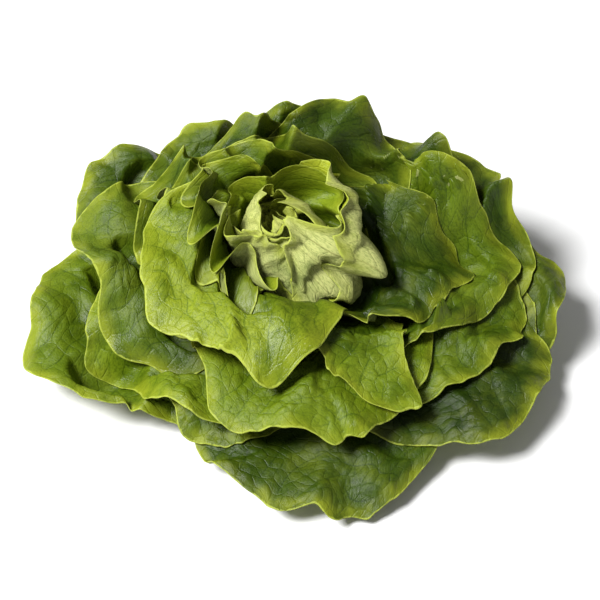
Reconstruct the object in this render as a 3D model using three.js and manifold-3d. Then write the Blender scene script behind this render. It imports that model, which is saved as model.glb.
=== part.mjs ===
// A butterhead lettuce as picked: cut at the stem, and standing on the cut face.
// Millimetres, +Z up. The origin is the middle of the cut face, and the front of the head is -Y.
//
// The head is a family of layers wound round the stem. Layer 0 stands up in the heart and layer 1 lies out
// on the surface. At the back the layers stand steeper than at the front, and those next to the heart close
// over it. Each leaf is a flat outline laid on a layer, with a form of its own: cup, curl, waves and creases.
// From the heart out, each leaf is pushed out by the leaves inside it, so that no two of them meet. All
// leaves are cut from one lattice of azimuth and arc length, so that neighbours have matching triangles and
// stay apart between the corners too.
import * as THREE from "three";
import { mergeVertices } from "three/addons/utils/BufferGeometryUtils.js";
import Module from "manifold-3d";

const DEGREE = Math.PI / 180;
const TURN = 2 * Math.PI;

// The layers. A climb is in degrees from level, at each knot of arc length from the foot of the leaf.
const KNOTS = [0, 30, 50, 70, 100, 140];
const FRONT_CLIMB = [
  [80, 110, 180, 215, 230, 240],
  [66, 90, 145, 190, 205, 205],
  [70, 74, 72, 55, 40, 30],
  [74, 46, -8, -24, -26, -22],
  [48, 20, -4, -17, -21, -20],
  [32, 10, -4, -9, -11, -11],
  [20, 3, -3, -5, -5, -5],
];
const BACK_CLIMB = [
  [80, 110, 180, 215, 230, 240],
  [66, 90, 145, 190, 205, 205],
  [74, 84, 92, 94, 86, 60],
  [75, 73, 71, 61, 43, 16],
  [70, 66, 60, 51, 36, 14],
  [62, 57, 52, 46, 35, 19],
  [53, 48, 44, 39, 31, 20],
];
const BACK_POWER = 1.7;
const FOOT_HEIGHT = [47, 42, 37.5, 33, 25, 16.8, 10];
const FOOT_RADIUS = [4, 7.5, 9.5, 11, 12.9, 14.4, 15.5];
const LAST = FOOT_RADIUS.length - 1;
const LAST_KNOT = KNOTS.length - 1;
const STRAIGHT = 1e-9;

// The layers close over the heart in front and on the right, bulge out on the right and crest on the left.
// A side is the azimuth it faces, its least cosine, the range of cosines it fades over, what it adds to the
// climbs at the knots, and the share of that for each row.
const SIDES = [
  { to: -40, least: -0.35, fade: 0.7, climbs: [-20, 2, 46, 105, 150, 165], rows: [0, 0, 1, 0, 0, 0, 0] },
  { to: 15, least: 0.3, fade: 0.6, climbs: [-20, -20, -22, -30, -30, -30], rows: [0, 0.2, 1, 0, 0, 0, 0] },
  { to: 15, least: 0.2, fade: 0.7, climbs: [-32, -30, -16, 0, 6, 4], rows: [0, 0, 0, 1, 0.45, 0.1, 0] },
  { to: 210, least: 0.1, fade: 0.7, climbs: [-8, 16, 18, 0, 0, 0], rows: [0, 0, 0, 1, 0.1, 0, 0] },
];

// Layers at which the distance between layers is measured.
const FIRST_LAYER = -0.3;
const LAYER_STEP = 0.02;
const LAYER_COUNT = 90;
const LAYERS = Array.from({ length: LAYER_COUNT }, (_, k) => FIRST_LAYER + k * LAYER_STEP);
const ARC_STEP = 0.5;

// The outline: its middle is this share of the length from the foot, and it would narrow to a point below it.
const MIDDLE = 0.46;
const BELOW_FOOT = 1.12;
const LEAST_TURN_RADIUS = 9;

// The form of a leaf fades in above its foot, and its rim rolls within a few millimetres.
const FORM_STARTS_AT = 8;
const FORM_GROWS_OVER = 45;
const RIM_POWER = 1.4;
const CURL_STARTS_AT = 0.5;
const ROLL_WIDTH = 6;
const ROLL_POWER = 1.5;
const CREASE_EASE = 2;

// The midrib: its width for each millimetre of its height, at the foot and less of it at the tip.
const RIB_WIDTH = 1.6;
const RIB_NARROWS_BY = 1.2;
const LEAST_RIB_WIDTH = 0.6;
const RIB_ENDS_AT = 0.85;

// Spacing of the leaves, measured square to the layer.
const HALF_BLADE = 0.6;
const THIN_AT_FOOT = 0.55;
const THIN_GROWS_OVER = 45;
const LEAST_GAUGE = 15;
const CLEAR_AT_FOOT = 1.5;
const CLEAR_AT_RIM = 8;
const CLEAR_GROWS_OVER = 50;
const EASE = 1.7;
const SOFTNESS = 1;

// The lattice: rows of arc length, and columns that double in number as the layers widen.
const ROWS = [0, 12, 24, 35, 45, 54, 63, 72, 81, 90, 100, 110, 120, 131, 142];
const FINEST = 80;
const COLUMNS_FROM = [
  [0, 20],
  [35, 40],
  [90, 80],
];
const COLUMNS_WITHIN = [
  [0.26, 20],
  [0.79, 40],
  [9, 80],
];
const SNAP = 0.42;

// Where flat triangles would still touch, the outer leaf moves out by small steps near the touch.
const CLEARANCE = 0.2;
const LEAST_TOUCH = 1e-4;
const MOVE = 0.4;
const MOVE_REACH = 13;
const MOST_MOVES = 20;
const BISECTIONS = 20;

// The cut stem, as radius and height up its side, and the small core of the heart that stands on it.
const STEM_SIDE = [
  [12.6, 0],
  [13.4, 1],
  [13.6, 4],
  [12.9, 8],
  [11.4, 14],
  [10.2, 22],
  [8.6, 31],
  [7.2, 37.5],
];
const STEM_TOP = 39;
const CORE_FLOOR = 39.6;
const CORE_SIDE = [
  [7.4, 39.6],
  [8.2, 42],
  [8.2, 49],
  [6.6, 56],
  [3.8, 62],
];
const CORE_TOP = 65;
const STEM_SIDES = 20;
const CORE_SIDES = 12;
const WELD = 2e-3;

// Slow bends of the whole head: waves per millimetre, millimetres, direction of the wave and of the move.
const BENDS = [
  { pitch: 0.105, mm: 3.4, wave: [1, 0.3, 0.5], move: [0.2, -0.5, 1], start: 0.4 },
  { pitch: 0.098, mm: 3.0, wave: [-0.4, 1, 0.6], move: [1, 0.3, 0.2], start: 2.1 },
  { pitch: 0.115, mm: 2.6, wave: [0.5, -0.6, 1], move: [-0.3, 1, 0.3], start: 4.0 },
  { pitch: 0.24, mm: 1.1, wave: [0.8, 0.9, -0.3], move: [0.5, -0.4, 1], start: 1.3 },
  { pitch: 0.26, mm: 1.0, wave: [-0.9, 0.5, 0.8], move: [0.7, 0.9, 0.1], start: 5.2 },
];
const BEND_STARTS_AT = 16;
const BEND_GROWS_OVER = 50;
const BEND_LIFT_OVER = 30;

// The heart leans back and to the left.
const HEART_LEAN = [-15, 15, 0];
const LEAN_STARTS_AT = 40;
const LEAN_GROWS_OVER = 45;
const LEAN_REACH = 95;

// Colours and finish, from the heart out.
const HEART_COLOUR = new THREE.Color("#c3cf6a");
const MIDDLE_COLOUR = new THREE.Color("#7f9c2a");
const OUTER_COLOUR = new THREE.Color("#4b6a17");
const STEM_COLOUR = new THREE.Color("#dfe0b4");
const MIDDLE_LAYER = 0.5;
const LEAF_ROUGHNESS = 0.42;
const STEM_ROUGHNESS = 0.6;

// Random starts for the ruffles, drawn in the order of the table.
const DRAW_FACTOR = 16807;
const DRAW_RANGE = 2147483647;
let drawn = 20261;

function randomStart() {
  drawn = (drawn * DRAW_FACTOR) % DRAW_RANGE;
  return (drawn / DRAW_RANGE) * TURN;
}

function ruffle(...heights) {
  const counts = [5, 9, 13];
  return heights.map((mm, i) => [counts[i], mm, randomStart()]);
}

// One leaf: its azimuth in degrees from +X, its layer, and its length and half width in millimetres. Waves
// are [count round the rim, millimetres, start]; creases and lobes are [direction, width, millimetres], with
// the direction in degrees from the tip, as seen from the middle of the leaf.
function leaf(name, azimuth, layer, length, half, form) {
  const outline = { square: 2.2, taper: 1.05, lobes: [] };
  const relief = { cup: 0, curl: 0, roll: 2, waves: [], creases: [], deep: 22 };
  const stack = { rib: 0.5, gap: 2 };
  return { name, azimuth: azimuth * DEGREE, layer, length, half, ...outline, ...relief, ...stack, ...form };
}

// The leaves of the heart, a golden turn apart: the first one and the last one, and the others in between.
const HEART_LEAVES = 9;
const GOLDEN_TURN = 137.5;
const FIRST_AZIMUTH = 150;
const FIRST_AND_LAST = {
  layer: [0.02, 0.25],
  length: [32, 62],
  half: [12, 24],
  heights: [[1, 3], [1, 2.5], [0.5, 1.5]],
};
const HEART_COUNTS = [4, 7, 10];
const FOLD_RANGE = 110;
const FOLD_WIDTH = 12;
const FOLD_MM = 4;

function heartLeaf(k) {
  const between = ([first, last]) => first + ((last - first) * k) / (HEART_LEAVES - 1);
  const { heights } = FIRST_AND_LAST;
  const waves = HEART_COUNTS.map((count, i) => [count, between(heights[i]), randomStart()]);
  const fold = (randomStart() / TURN - 0.5) * FOLD_RANGE;
  const creases = [[fold, FOLD_WIDTH, k % 2 ? FOLD_MM : -FOLD_MM]];
  const form = { roll: 1.5, waves, rib: 0.3, deep: 16, gap: 0.9, creases };
  const [layer, length, half] = ["layer", "length", "half"].map((size) => between(FIRST_AND_LAST[size]));
  return leaf("heart", FIRST_AZIMUTH + GOLDEN_TURN * k, layer, length, half, form);
}

const LEAVES = [
  ...Array.from({ length: HEART_LEAVES }, (_, k) => heartLeaf(k)),
  leaf("inner_leaf_1", 275, 0.3, 56, 36, { creases: [[-20, 10, 5]], waves: ruffle(4, 3, 1.5), roll: 1 }),
  leaf("inner_leaf_2", 224, 0.31, 60, 28, { creases: [[15, 12, 7]], waves: ruffle(5, 5, 3), roll: 1 }),
  leaf("inner_leaf_3", 95, 0.35, 63, 30, { waves: ruffle(3, 5, 4) }),
  leaf("inner_leaf_4", 188, 0.36, 68, 30, { waves: ruffle(4, 11, 4) }),
  leaf("inner_leaf_5", 330, 0.325, 66, 30, { creases: [[25, 12, 6]], waves: ruffle(4, 2, 1), roll: 1 }),
  leaf("inner_leaf_6", 155, 0.4, 78, 36, { curl: 2, waves: ruffle(4, 14, 4), deep: 24 }),
  leaf("inner_leaf_7", 24, 0.345, 70, 40, { creases: [[-10, 12, 7]], waves: ruffle(4, 2, 1) }),
  leaf("inner_leaf_8", 125, 0.44, 84, 38, { curl: 2, waves: ruffle(4, 12, 4) }),
  leaf("inner_leaf_9", 210, 0.5, 85, 64, {
    waves: [[3, 1.5, 2.5], [7, 1.5, 1]],
    creases: [[60, 8, 11]],
    lobes: [[-48, 28, 19], [58, 8, -2], [98, 20, -14]],
  }),
  leaf("inner_leaf_10", 15, 0.52, 84, 50, {
    waves: [[3, 5, 2], [6, 4, 1.5]],
    creases: [[0, 22, 12]],
    lobes: [[-48, 24, -13]],
  }),
  leaf("inner_leaf_11", 195, 0.53, 76, 34, { waves: ruffle(4, 13, 4) }),
  leaf("inner_leaf_12", 100, 0.55, 88, 38, { curl: 2, waves: ruffle(4, 14, 4) }),
  leaf("middle_leaf_1", 150, 0.583, 88, 40, { curl: 2, waves: ruffle(5, 14, 4) }),
  leaf("middle_leaf_2", 306, 0.6, 88, 25, { cup: -5, waves: [[3, 3, 3], [5, 2, 1]], square: 1.7 }),
  leaf("middle_leaf_3", 72, 0.625, 112, 32, { curl: 2, waves: ruffle(6, 9, 4), square: 2.8 }),
  leaf("middle_leaf_4", 18, 0.642, 106, 54, { curl: 2, waves: [[4, 14, 2.5], [6, 8, 1]], roll: 5 }),
  leaf("middle_leaf_5", 280, 0.667, 80, 74, {
    waves: [[3, 3, 0], [5, 2, 1], [9, 1, 2]],
    creases: [[8, 7, 4]],
    lobes: [[8, 4, -3], [-48, 10, 5]],
    square: 3.4,
  }),
  leaf("middle_leaf_6", 112, 0.675, 100, 40, { curl: 2, waves: ruffle(5, 13, 4) }),
  leaf("middle_leaf_7", 143, 0.692, 102, 44, { curl: 2, waves: ruffle(7, 12, 4) }),
  leaf("middle_leaf_8", 166, 0.725, 116, 54, { waves: [[3, 8, 3.4], [5, 5, 2], [9, 3, 1]], square: 2.6 }),
  leaf("middle_leaf_9", 351, 0.758, 108, 58, {
    waves: [[3, 8, 0], [6, 4, 0], [10, 2, 1]],
    creases: [[-10, 20, 6]],
    lobes: [[-45, 25, -8]],
  }),
  leaf("middle_leaf_10", 198, 0.783, 104, 66, {
    waves: [[3, 7, 1], [6, 5, 0], [10, 2, 1]],
    creases: [[10, 16, 9]],
    lobes: [[24, 24, -18], [75, 20, 5]],
    square: 2.6,
  }),
  leaf("middle_leaf_11", 52, 0.8, 110, 50, { waves: ruffle(6, 8, 3) }),
  leaf("outer_leaf_1", 96, 0.808, 106, 44, { waves: ruffle(6, 8, 3) }),
  leaf("outer_leaf_2", 30, 0.867, 122, 60, { waves: [[3, 8, 0], [5, 5, 0], [9, 3, 0]], square: 2.6 }),
  leaf("outer_leaf_3", 130, 0.85, 116, 42, { waves: ruffle(6, 8, 3) }),
  leaf("outer_leaf_4", 231, 0.892, 78, 44, { waves: [[3, 4, 0], [6, 2, 0]] }),
  leaf("outer_leaf_5", 341, 0.908, 118, 64, {
    waves: [[3, 5, 1], [5, 4, 0], [9, 3, 0]],
    lobes: [[-40, 20, 4]],
    square: 2.8,
  }),
  leaf("outer_leaf_6", 150, 0.858, 130, 42, { waves: ruffle(5, 7, 2) }),
  leaf("outer_leaf_7", 187, 0.917, 130, 54, { waves: [[3, 6, 2.6], [6, 4, 0], [10, 2, 0]], square: 2.8 }),
  leaf("outer_leaf_8", 4, 0.942, 128, 50, { waves: [[3, 7, 1], [6, 4, 0]] }),
  leaf("outer_leaf_9", 281, 0.958, 101, 74, {
    waves: [[3, 3, 1], [5, 2, 0], [9, 1.5, 1]],
    creases: [[-16, 8, -4], [10, 8, 2]],
    square: 2.8,
  }),
];

function clamp(x, low, high) {
  return Math.min(Math.max(x, low), high);
}

function smooth(x) {
  const t = clamp(x, 0, 1);
  return t * t * (3 - 2 * t);
}

function hump(x, middle, width) {
  return Math.exp(-(((x - middle) / width) ** 2));
}

// An angle brought to within half a turn of zero.
function wrapped(angle) {
  return ((((angle + Math.PI) % TURN) + TURN) % TURN) - Math.PI;
}

// Shares of the rows of the layer tables at a layer, and straight on past the first and last rows.
function rowShares(layer) {
  const at = layer * LAST;
  const row = clamp(Math.floor(at), 0, LAST - 1);
  const shares = new Array(LAST + 1).fill(0);
  shares[row] = row + 1 - at;
  shares[row + 1] = at - row;
  return shares;
}

function blend(shares, values) {
  return shares.reduce((sum, share, i) => sum + share * values[i], 0);
}

// The climbs of a layer at an azimuth, at each knot.
function climbsAt(azimuth, shares) {
  const back = ((1 + Math.sin(azimuth)) / 2) ** BACK_POWER;
  const climbs = KNOTS.map((_, k) => {
    const front = blend(shares, FRONT_CLIMB.map((row) => row[k]));
    const rear = blend(shares, BACK_CLIMB.map((row) => row[k]));
    return front + (rear - front) * back;
  });
  for (const side of SIDES) {
    const facing = smooth((Math.cos(azimuth - side.to * DEGREE) - side.least) / side.fade);
    const share = facing * blend(shares, side.rows);
    side.climbs.forEach((climb, k) => (climbs[k] += share * climb));
  }
  return climbs.map((climb) => climb * DEGREE);
}

// Radius and height of a layer at an azimuth and arc length: arcs between the knots, then a straight end.
function profile(azimuth, arc, layer) {
  const shares = rowShares(layer);
  const climbs = climbsAt(azimuth, shares);
  let radius = blend(shares, FOOT_RADIUS);
  let height = blend(shares, FOOT_HEIGHT);
  for (let k = 0; k < LAST_KNOT; k++) {
    const span = KNOTS[k + 1] - KNOTS[k];
    const run = clamp(arc - KNOTS[k], 0, span);
    const half = (((climbs[k + 1] - climbs[k]) / span) * run) / 2;
    const chord = Math.abs(half) > STRAIGHT ? (run * Math.sin(half)) / half : run;
    radius += chord * Math.cos(climbs[k] + half);
    height += chord * Math.sin(climbs[k] + half);
  }
  const end = Math.max(arc - KNOTS[LAST_KNOT], 0);
  return [radius + end * Math.cos(climbs[LAST_KNOT]), height + end * Math.sin(climbs[LAST_KNOT])];
}

// Millimetres from the first of the layers to each of them, square to the layers.
function layerHeights(azimuth, arc) {
  const heights = [0];
  for (let k = 1; k < LAYER_COUNT; k++) {
    const [r0, z0] = profile(azimuth, arc, LAYERS[k - 1]);
    const [r1, z1] = profile(azimuth, arc, LAYERS[k]);
    const [r2, z2] = profile(azimuth, arc + ARC_STEP, LAYERS[k]);
    const [a, b] = [r2 - r1, z2 - z1];
    const across = ((r1 - r0) * b - (z1 - z0) * a) / Math.hypot(a, b);
    heights.push(heights[k - 1] + Math.max(across, LEAST_GAUGE * LAYER_STEP));
  }
  return heights;
}

function heightOf(heights, layer) {
  const at = (layer - FIRST_LAYER) / LAYER_STEP;
  const k = clamp(Math.floor(at), 0, LAYER_COUNT - 2);
  return heights[k] + (heights[k + 1] - heights[k]) * (at - k);
}

// The layer at a height, and the millimetres between layers there for one unit of layer.
function layerOf(heights, height) {
  const k = clamp(heights.findLastIndex((below) => below <= height), 0, LAYER_COUNT - 2);
  const gauge = (heights[k + 1] - heights[k]) / LAYER_STEP;
  return { layer: LAYERS[k] + (height - heights[k]) / gauge, gauge };
}

// Distance from the leaf's middle to its margin, in direction chi from the tip.
function reach(leaf, chi) {
  const [side, along] = [Math.abs(Math.sin(chi)), Math.cos(chi)];
  const end = leaf.length * (along > 0 ? 1 - MIDDLE : MIDDLE * BELOW_FOOT);
  const power = along > 0 ? leaf.square : leaf.taper;
  const base = ((side / leaf.half) ** power + (Math.abs(along) / end) ** power) ** (-1 / power);
  return leaf.lobes.reduce((sum, [to, width, mm]) => sum + mm * hump(chi / DEGREE, to, width), base);
}

function turnRadius(leaf, arc) {
  return Math.max(profile(leaf.azimuth, arc, leaf.layer)[0], LEAST_TURN_RADIUS);
}

// Where an azimuth and arc length fall on a leaf: its flat x and y, direction, and distances from the middle.
function find(leaf, azimuth, arc) {
  const x = wrapped(azimuth - leaf.azimuth) * turnRadius(leaf, arc);
  const y = arc - MIDDLE * leaf.length;
  const chi = Math.atan2(x, y);
  const rho = Math.hypot(x, y);
  const most = reach(leaf, chi);
  return { chi, rho, most, share: Math.min(rho / most, 1), outside: Math.max(rho - most, 0) };
}

// How far the leaf's own form stands out from its layer, in millimetres.
function relief(leaf, { chi, most, share }) {
  const x = share * most * Math.sin(chi);
  const y = share * most * Math.cos(chi) + MIDDLE * leaf.length;
  const inside = (1 - share) * most;
  const near = Math.exp(-((inside / leaf.deep) ** RIM_POWER));
  const rise = smooth((y - FORM_STARTS_AT) / FORM_GROWS_OVER);
  const cup = leaf.cup * (x / leaf.half) ** 2 * rise;
  const curl = leaf.curl * smooth((y / leaf.length - CURL_STARTS_AT) / (1 - CURL_STARTS_AT));
  const waves = leaf.waves.reduce((sum, [count, mm, start]) => sum + mm * Math.sin(count * chi + start), 0);
  const roll = leaf.roll * Math.exp(-((inside / ROLL_WIDTH) ** ROLL_POWER));
  const creases = leaf.creases.reduce((sum, [to, width, mm]) => {
    const away = Math.hypot(chi / DEGREE - to, CREASE_EASE);
    return sum + mm * Math.exp(-away / width) * share ** 2;
  }, 0);
  return cup + curl + (waves * near + roll + creases) * rise;
}

// The midrib thickens the lower leaf, in millimetres on its outer face.
function ribHeight(leaf, { chi, most, share }) {
  const x = share * most * Math.sin(chi);
  const along = (share * most * Math.cos(chi)) / leaf.length + MIDDLE;
  const width = Math.max(leaf.rib * (RIB_WIDTH - RIB_NARROWS_BY * along), LEAST_RIB_WIDTH);
  return leaf.rib * (1 - smooth(along / RIB_ENDS_AT)) * hump(x, 0, width);
}

// Blades and the gaps between them are thinner near the stem, where the feet crowd together.
function thinning(arc) {
  return THIN_AT_FOOT + (1 - THIN_AT_FOOT) * smooth(arc / THIN_GROWS_OVER);
}

// Columns of a lattice row for a leaf, and how many of the finest columns one of them spans.
function stepAt(leaf, row) {
  const arc = ROWS[row];
  const byArc = COLUMNS_FROM.findLast(([from]) => arc >= from)[1];
  const byLayer = COLUMNS_WITHIN.find(([within]) => leaf.layer < within)[1];
  return FINEST / Math.min(byArc, byLayer);
}

const placed = LEAVES.map(() => new Map());
const measured = new Map();

function heightsAt(row, column) {
  const key = row * FINEST + column;
  if (!measured.has(key)) measured.set(key, layerHeights((column / FINEST) * TURN, ROWS[row]));
  return measured.get(key);
}

// The layer of leaf n at a lattice point, once every leaf inside it has pushed it out.
function placeAt(n, row, column) {
  const col = (column + FINEST) % FINEST;
  const key = row * FINEST + col;
  if (!placed[n].has(key)) placed[n].set(key, place(n, row, col));
  return placed[n].get(key);
}

function place(n, row, column) {
  const leaf = LEAVES[n];
  const step = stepAt(leaf, row);
  const odd = column % step;
  if (odd) {
    const before = placeAt(n, row, column - odd);
    const after = placeAt(n, row, column - odd + step);
    const share = odd / step;
    const mixed = (size) => before[size] * (1 - share) + after[size] * share;
    return { layer: mixed("layer"), outside: mixed("outside"), rib: mixed("rib"), gauge: mixed("gauge") };
  }
  const arc = ROWS[row];
  const found = find(leaf, (column / FINEST) * TURN, arc);
  const heights = heightsAt(row, column);
  const clear = CLEAR_AT_FOOT + (CLEAR_AT_RIM - CLEAR_AT_FOOT) * smooth(arc / CLEAR_GROWS_OVER);
  const thin = thinning(arc);
  let height = heightOf(heights, leaf.layer) + relief(leaf, found);
  for (let inner = 0; inner < n; inner++) {
    const other = placeAt(inner, row, column);
    const gap = LEAVES[inner].gap * thin + other.rib - EASE * Math.max(other.outside - clear, 0);
    const least = heightOf(heights, other.layer) + gap;
    height = (height + least + Math.hypot(height - least, SOFTNESS)) / 2;
  }
  return { ...layerOf(heights, height), outside: found.outside, rib: ribHeight(leaf, found) };
}

function bend(point) {
  const from = point.clone();
  const out = Math.hypot(from.x, from.y);
  const leaning = smooth((from.z - LEAN_STARTS_AT) / LEAN_GROWS_OVER) * (1 - smooth(out / LEAN_REACH));
  point.addScaledVector(new THREE.Vector3(...HEART_LEAN), leaning);
  const away = smooth((out - BEND_STARTS_AT) / BEND_GROWS_OVER);
  const lifted = smooth(from.z / BEND_LIFT_OVER);
  for (const { pitch, mm, wave, move, start } of BENDS) {
    const along = from.dot(new THREE.Vector3(...wave).setLength(pitch));
    const shift = new THREE.Vector3(...move).setLength(mm).multiplyScalar(away * Math.sin(along + start));
    point.add(new THREE.Vector3(shift.x, shift.y, shift.z * lifted));
  }
  return point;
}

function pointAt(azimuth, arc, layer) {
  const [radius, height] = profile(azimuth, arc, layer);
  return bend(new THREE.Vector3(radius * Math.cos(azimuth), radius * Math.sin(azimuth), height));
}

// The lattice point of leaf n, with a point on each face of the blade. Its side is -1 within the margin and
// 1 outside it.
function cornerAt(n, row, column, spare) {
  const azimuth = (column / FINEST) * TURN;
  const arc = ROWS[row];
  const { layer, rib, gauge } = placeAt(n, row, column);
  const half = HALF_BLADE * thinning(arc);
  const found = find(LEAVES[n], azimuth, arc);
  return {
    key: `${row} ${column}`,
    azimuth,
    arc,
    side: found.rho < found.most ? -1 : 1,
    inner: pointAt(azimuth, arc, layer - (half + spare) / gauge),
    outer: pointAt(azimuth, arc, layer + (half + rib) / gauge),
  };
}

// Share of the way from a corner within the margin to one outside it at which the margin is crossed.
function crossing(leaf, from, to) {
  const across = wrapped(to.azimuth - from.azimuth);
  const along = to.arc - from.arc;
  let [low, high] = [0, 1];
  for (let i = 0; i < BISECTIONS; i++) {
    const half = (low + high) / 2;
    const { rho, most } = find(leaf, from.azimuth + across * half, from.arc + along * half);
    if (rho < most) low = half;
    else high = half;
  }
  return low;
}

function between(from, to, share) {
  return { inner: from.inner.clone().lerp(to.inner, share), outer: from.outer.clone().lerp(to.outer, share) };
}

// The triangles of the lattice strip between a row and the next, each as three [row, column] pairs.
function stripTriangles(leaf, row) {
  const step = stepAt(leaf, row);
  const fine = stepAt(leaf, row + 1);
  const made = [];
  for (let c = 0; c < FINEST; c += step) {
    const [a, b] = [[row, c], [row, c + step]];
    const [d, e] = [[row + 1, c], [row + 1, c + step]];
    if (fine < step) {
      const middle = [row + 1, c + fine];
      made.push([a, b, middle], [a, middle, d], [b, e, middle]);
    } else if ((row + c / step) % 2) {
      made.push([a, b, d], [b, e, d]);
    } else {
      made.push([a, b, e], [a, e, d]);
    }
  }
  return made;
}

// The lattice triangles of leaf n that reach within its margin.
function trianglesOf(n, spare) {
  const corners = new Map();
  const cornerOf = ([row, past]) => {
    const column = past % FINEST;
    const key = `${row} ${column}`;
    if (!corners.has(key)) corners.set(key, cornerAt(n, row, column, spare));
    return corners.get(key);
  };
  const made = [];
  for (let row = 0; row + 1 < ROWS.length; row++) {
    for (const triangle of stripTriangles(LEAVES[n], row)) made.push(triangle.map(cornerOf));
  }
  return made.filter((triangle) => triangle.some(({ side }) => side < 0));
}

function edgeName(a, b) {
  return a.key < b.key ? `${a.key} to ${b.key}` : `${b.key} to ${a.key}`;
}

// Moves the corners nearest to the margin onto it, along the edges that cross it, and returns where the
// edges cross it.
function settle(leaf, triangles) {
  const crossings = new Map();
  const nearest = new Map();
  const consider = (corner, towards, share) => {
    const best = nearest.get(corner);
    if (share < SNAP && (!best || share < best.share)) nearest.set(corner, { towards, share });
  };
  for (const triangle of triangles) {
    triangle.forEach((corner, i) => {
      const next = triangle[(i + 1) % triangle.length];
      if (corner.side === next.side || crossings.has(edgeName(corner, next))) return;
      const [from, to] = corner.side < 0 ? [corner, next] : [next, corner];
      const share = crossing(leaf, from, to);
      const name = edgeName(from, to);
      crossings.set(name, { key: name, side: 0, ...between(from, to, share) });
      consider(from, to, share);
      consider(to, from, 1 - share);
    });
  }
  const moved = [...nearest].map(([corner, { towards, share }]) => [corner, between(corner, towards, share)]);
  for (const [corner, place] of moved) Object.assign(corner, place, { side: 0 });
  return crossings;
}

// One leaf as a closed blade: its share of the lattice, cut at the margin, with two faces and a rim.
function bladeOf(n, spare = 0) {
  const triangles = trianglesOf(n, spare);
  const crossings = settle(LEAVES[n], triangles);
  const faces = [];
  for (const triangle of triangles) {
    if (!triangle.some(({ side }) => side < 0)) continue;
    const kept = [];
    triangle.forEach((corner, i) => {
      const next = triangle[(i + 1) % triangle.length];
      if (corner.side <= 0) kept.push(corner);
      if (corner.side * next.side < 0) kept.push(crossings.get(edgeName(corner, next)));
    });
    for (let i = 1; i + 1 < kept.length; i++) faces.push([kept[0], kept[i], kept[i + 1]]);
  }
  return closed(withoutPinches(faces));
}

function sharesEdge(face, other) {
  return face.filter(({ key }) => other.some((corner) => corner.key === key)).length > 1;
}

// The faces without those that hang on the rest by a single corner.
function withoutPinches(faces) {
  const around = new Map();
  for (const face of faces) {
    for (const { key } of face) around.set(key, [...(around.get(key) ?? []), face]);
  }
  for (const faceRing of around.values()) {
    const fan = [faceRing[0]];
    for (const face of fan) fan.push(...faceRing.filter((f) => !fan.includes(f) && sharesEdge(f, face)));
    if (fan.length === faceRing.length) continue;
    const rest = faceRing.filter((face) => !fan.includes(face));
    const scrap = fan.length < rest.length ? fan : rest;
    return withoutPinches(faces.filter((face) => !scrap.includes(face)));
  }
  return faces;
}

// Vertex and index arrays of a blade from the triangles of its face, with a wall along each edge used once.
function closed(faces) {
  const number = new Map();
  const positions = [];
  const index = [];
  for (const corner of faces.flat()) {
    if (number.has(corner.key)) continue;
    number.set(corner.key, number.size);
    positions.push(...corner.outer.toArray(), ...corner.inner.toArray());
  }
  const outer = (corner) => 2 * number.get(corner.key);
  const inner = (corner) => outer(corner) + 1;
  const edges = new Map();
  for (const [a, b, c] of faces) {
    index.push(outer(a), outer(b), outer(c), inner(a), inner(c), inner(b));
    for (const [from, to] of [[a, b], [b, c], [c, a]]) {
      const back = `${to.key}/${from.key}`;
      if (edges.has(back)) edges.delete(back);
      else edges.set(`${from.key}/${to.key}`, [from, to]);
    }
  }
  for (const [from, to] of edges.values()) {
    index.push(outer(to), outer(from), inner(from), outer(to), inner(from), inner(to));
  }
  return { positions, index };
}

// A solid of revolution about +Z, from radius and height pairs that start and end on the axis.
function turned(side, sides) {
  const lathe = new THREE.LatheGeometry(side.map(([r, z]) => new THREE.Vector2(r, z)), sides);
  lathe.rotateX(Math.PI / 2);
  lathe.deleteAttribute("normal");
  lathe.deleteAttribute("uv");
  return mergeVertices(lathe);
}

const wasm = await Module();
wasm.setup();

function solid({ positions, index }) {
  const vertProperties = new Float32Array(positions);
  return new wasm.Manifold(new wasm.Mesh({ numProp: 3, vertProperties, triVerts: new Uint32Array(index) }));
}

function geometrySolid(geometry) {
  return solid({ positions: geometry.attributes.position.array, index: geometry.index.array });
}

function geometryOf({ positions, index }) {
  const geometry = new THREE.BufferGeometry();
  geometry.setAttribute("position", new THREE.BufferAttribute(new Float32Array(positions), 3));
  geometry.setIndex(new THREE.BufferAttribute(new Uint32Array(index), 1));
  return geometry;
}

// The heart: its leaves joined with the small core that they grow from.
function heartGeometry() {
  const core = turned([[0, CORE_FLOOR], ...CORE_SIDE, [0, CORE_TOP]], CORE_SIDES);
  const { position } = core.attributes;
  for (let i = 0; i < position.count; i++) {
    position.setXYZ(i, ...bend(new THREE.Vector3().fromBufferAttribute(position, i)));
  }
  let heart = geometrySolid(core);
  for (let n = 0; n < HEART_LEAVES; n++) heart = heart.add(solid(bladeOf(n)));
  return wholeBody(heart);
}

// The largest body of a solid, without sealed hollows or the slivers that welding its corners leaves.
function wholeBody(joined) {
  let bodies = joined.decompose();
  for (;;) {
    bodies.sort((a, b) => b.volume() - a.volume());
    const { vertProperties, triVerts } = bodies[0].getMesh();
    const welded = mergeVertices(geometryOf({ positions: vertProperties, index: triVerts }), WELD);
    bodies = geometrySolid(welded).decompose();
    if (bodies.length === 1) return welded;
  }
}

// Corners of what two solids have in common.
function touches(a, b) {
  const common = a.intersect(b);
  if (common.volume() < LEAST_TOUCH) return [];
  const { vertProperties } = common.getMesh();
  const at = [];
  for (let i = 0; i < vertProperties.length; i += 3) {
    at.push(new THREE.Vector3().fromArray(vertProperties, i));
  }
  return at;
}

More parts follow.
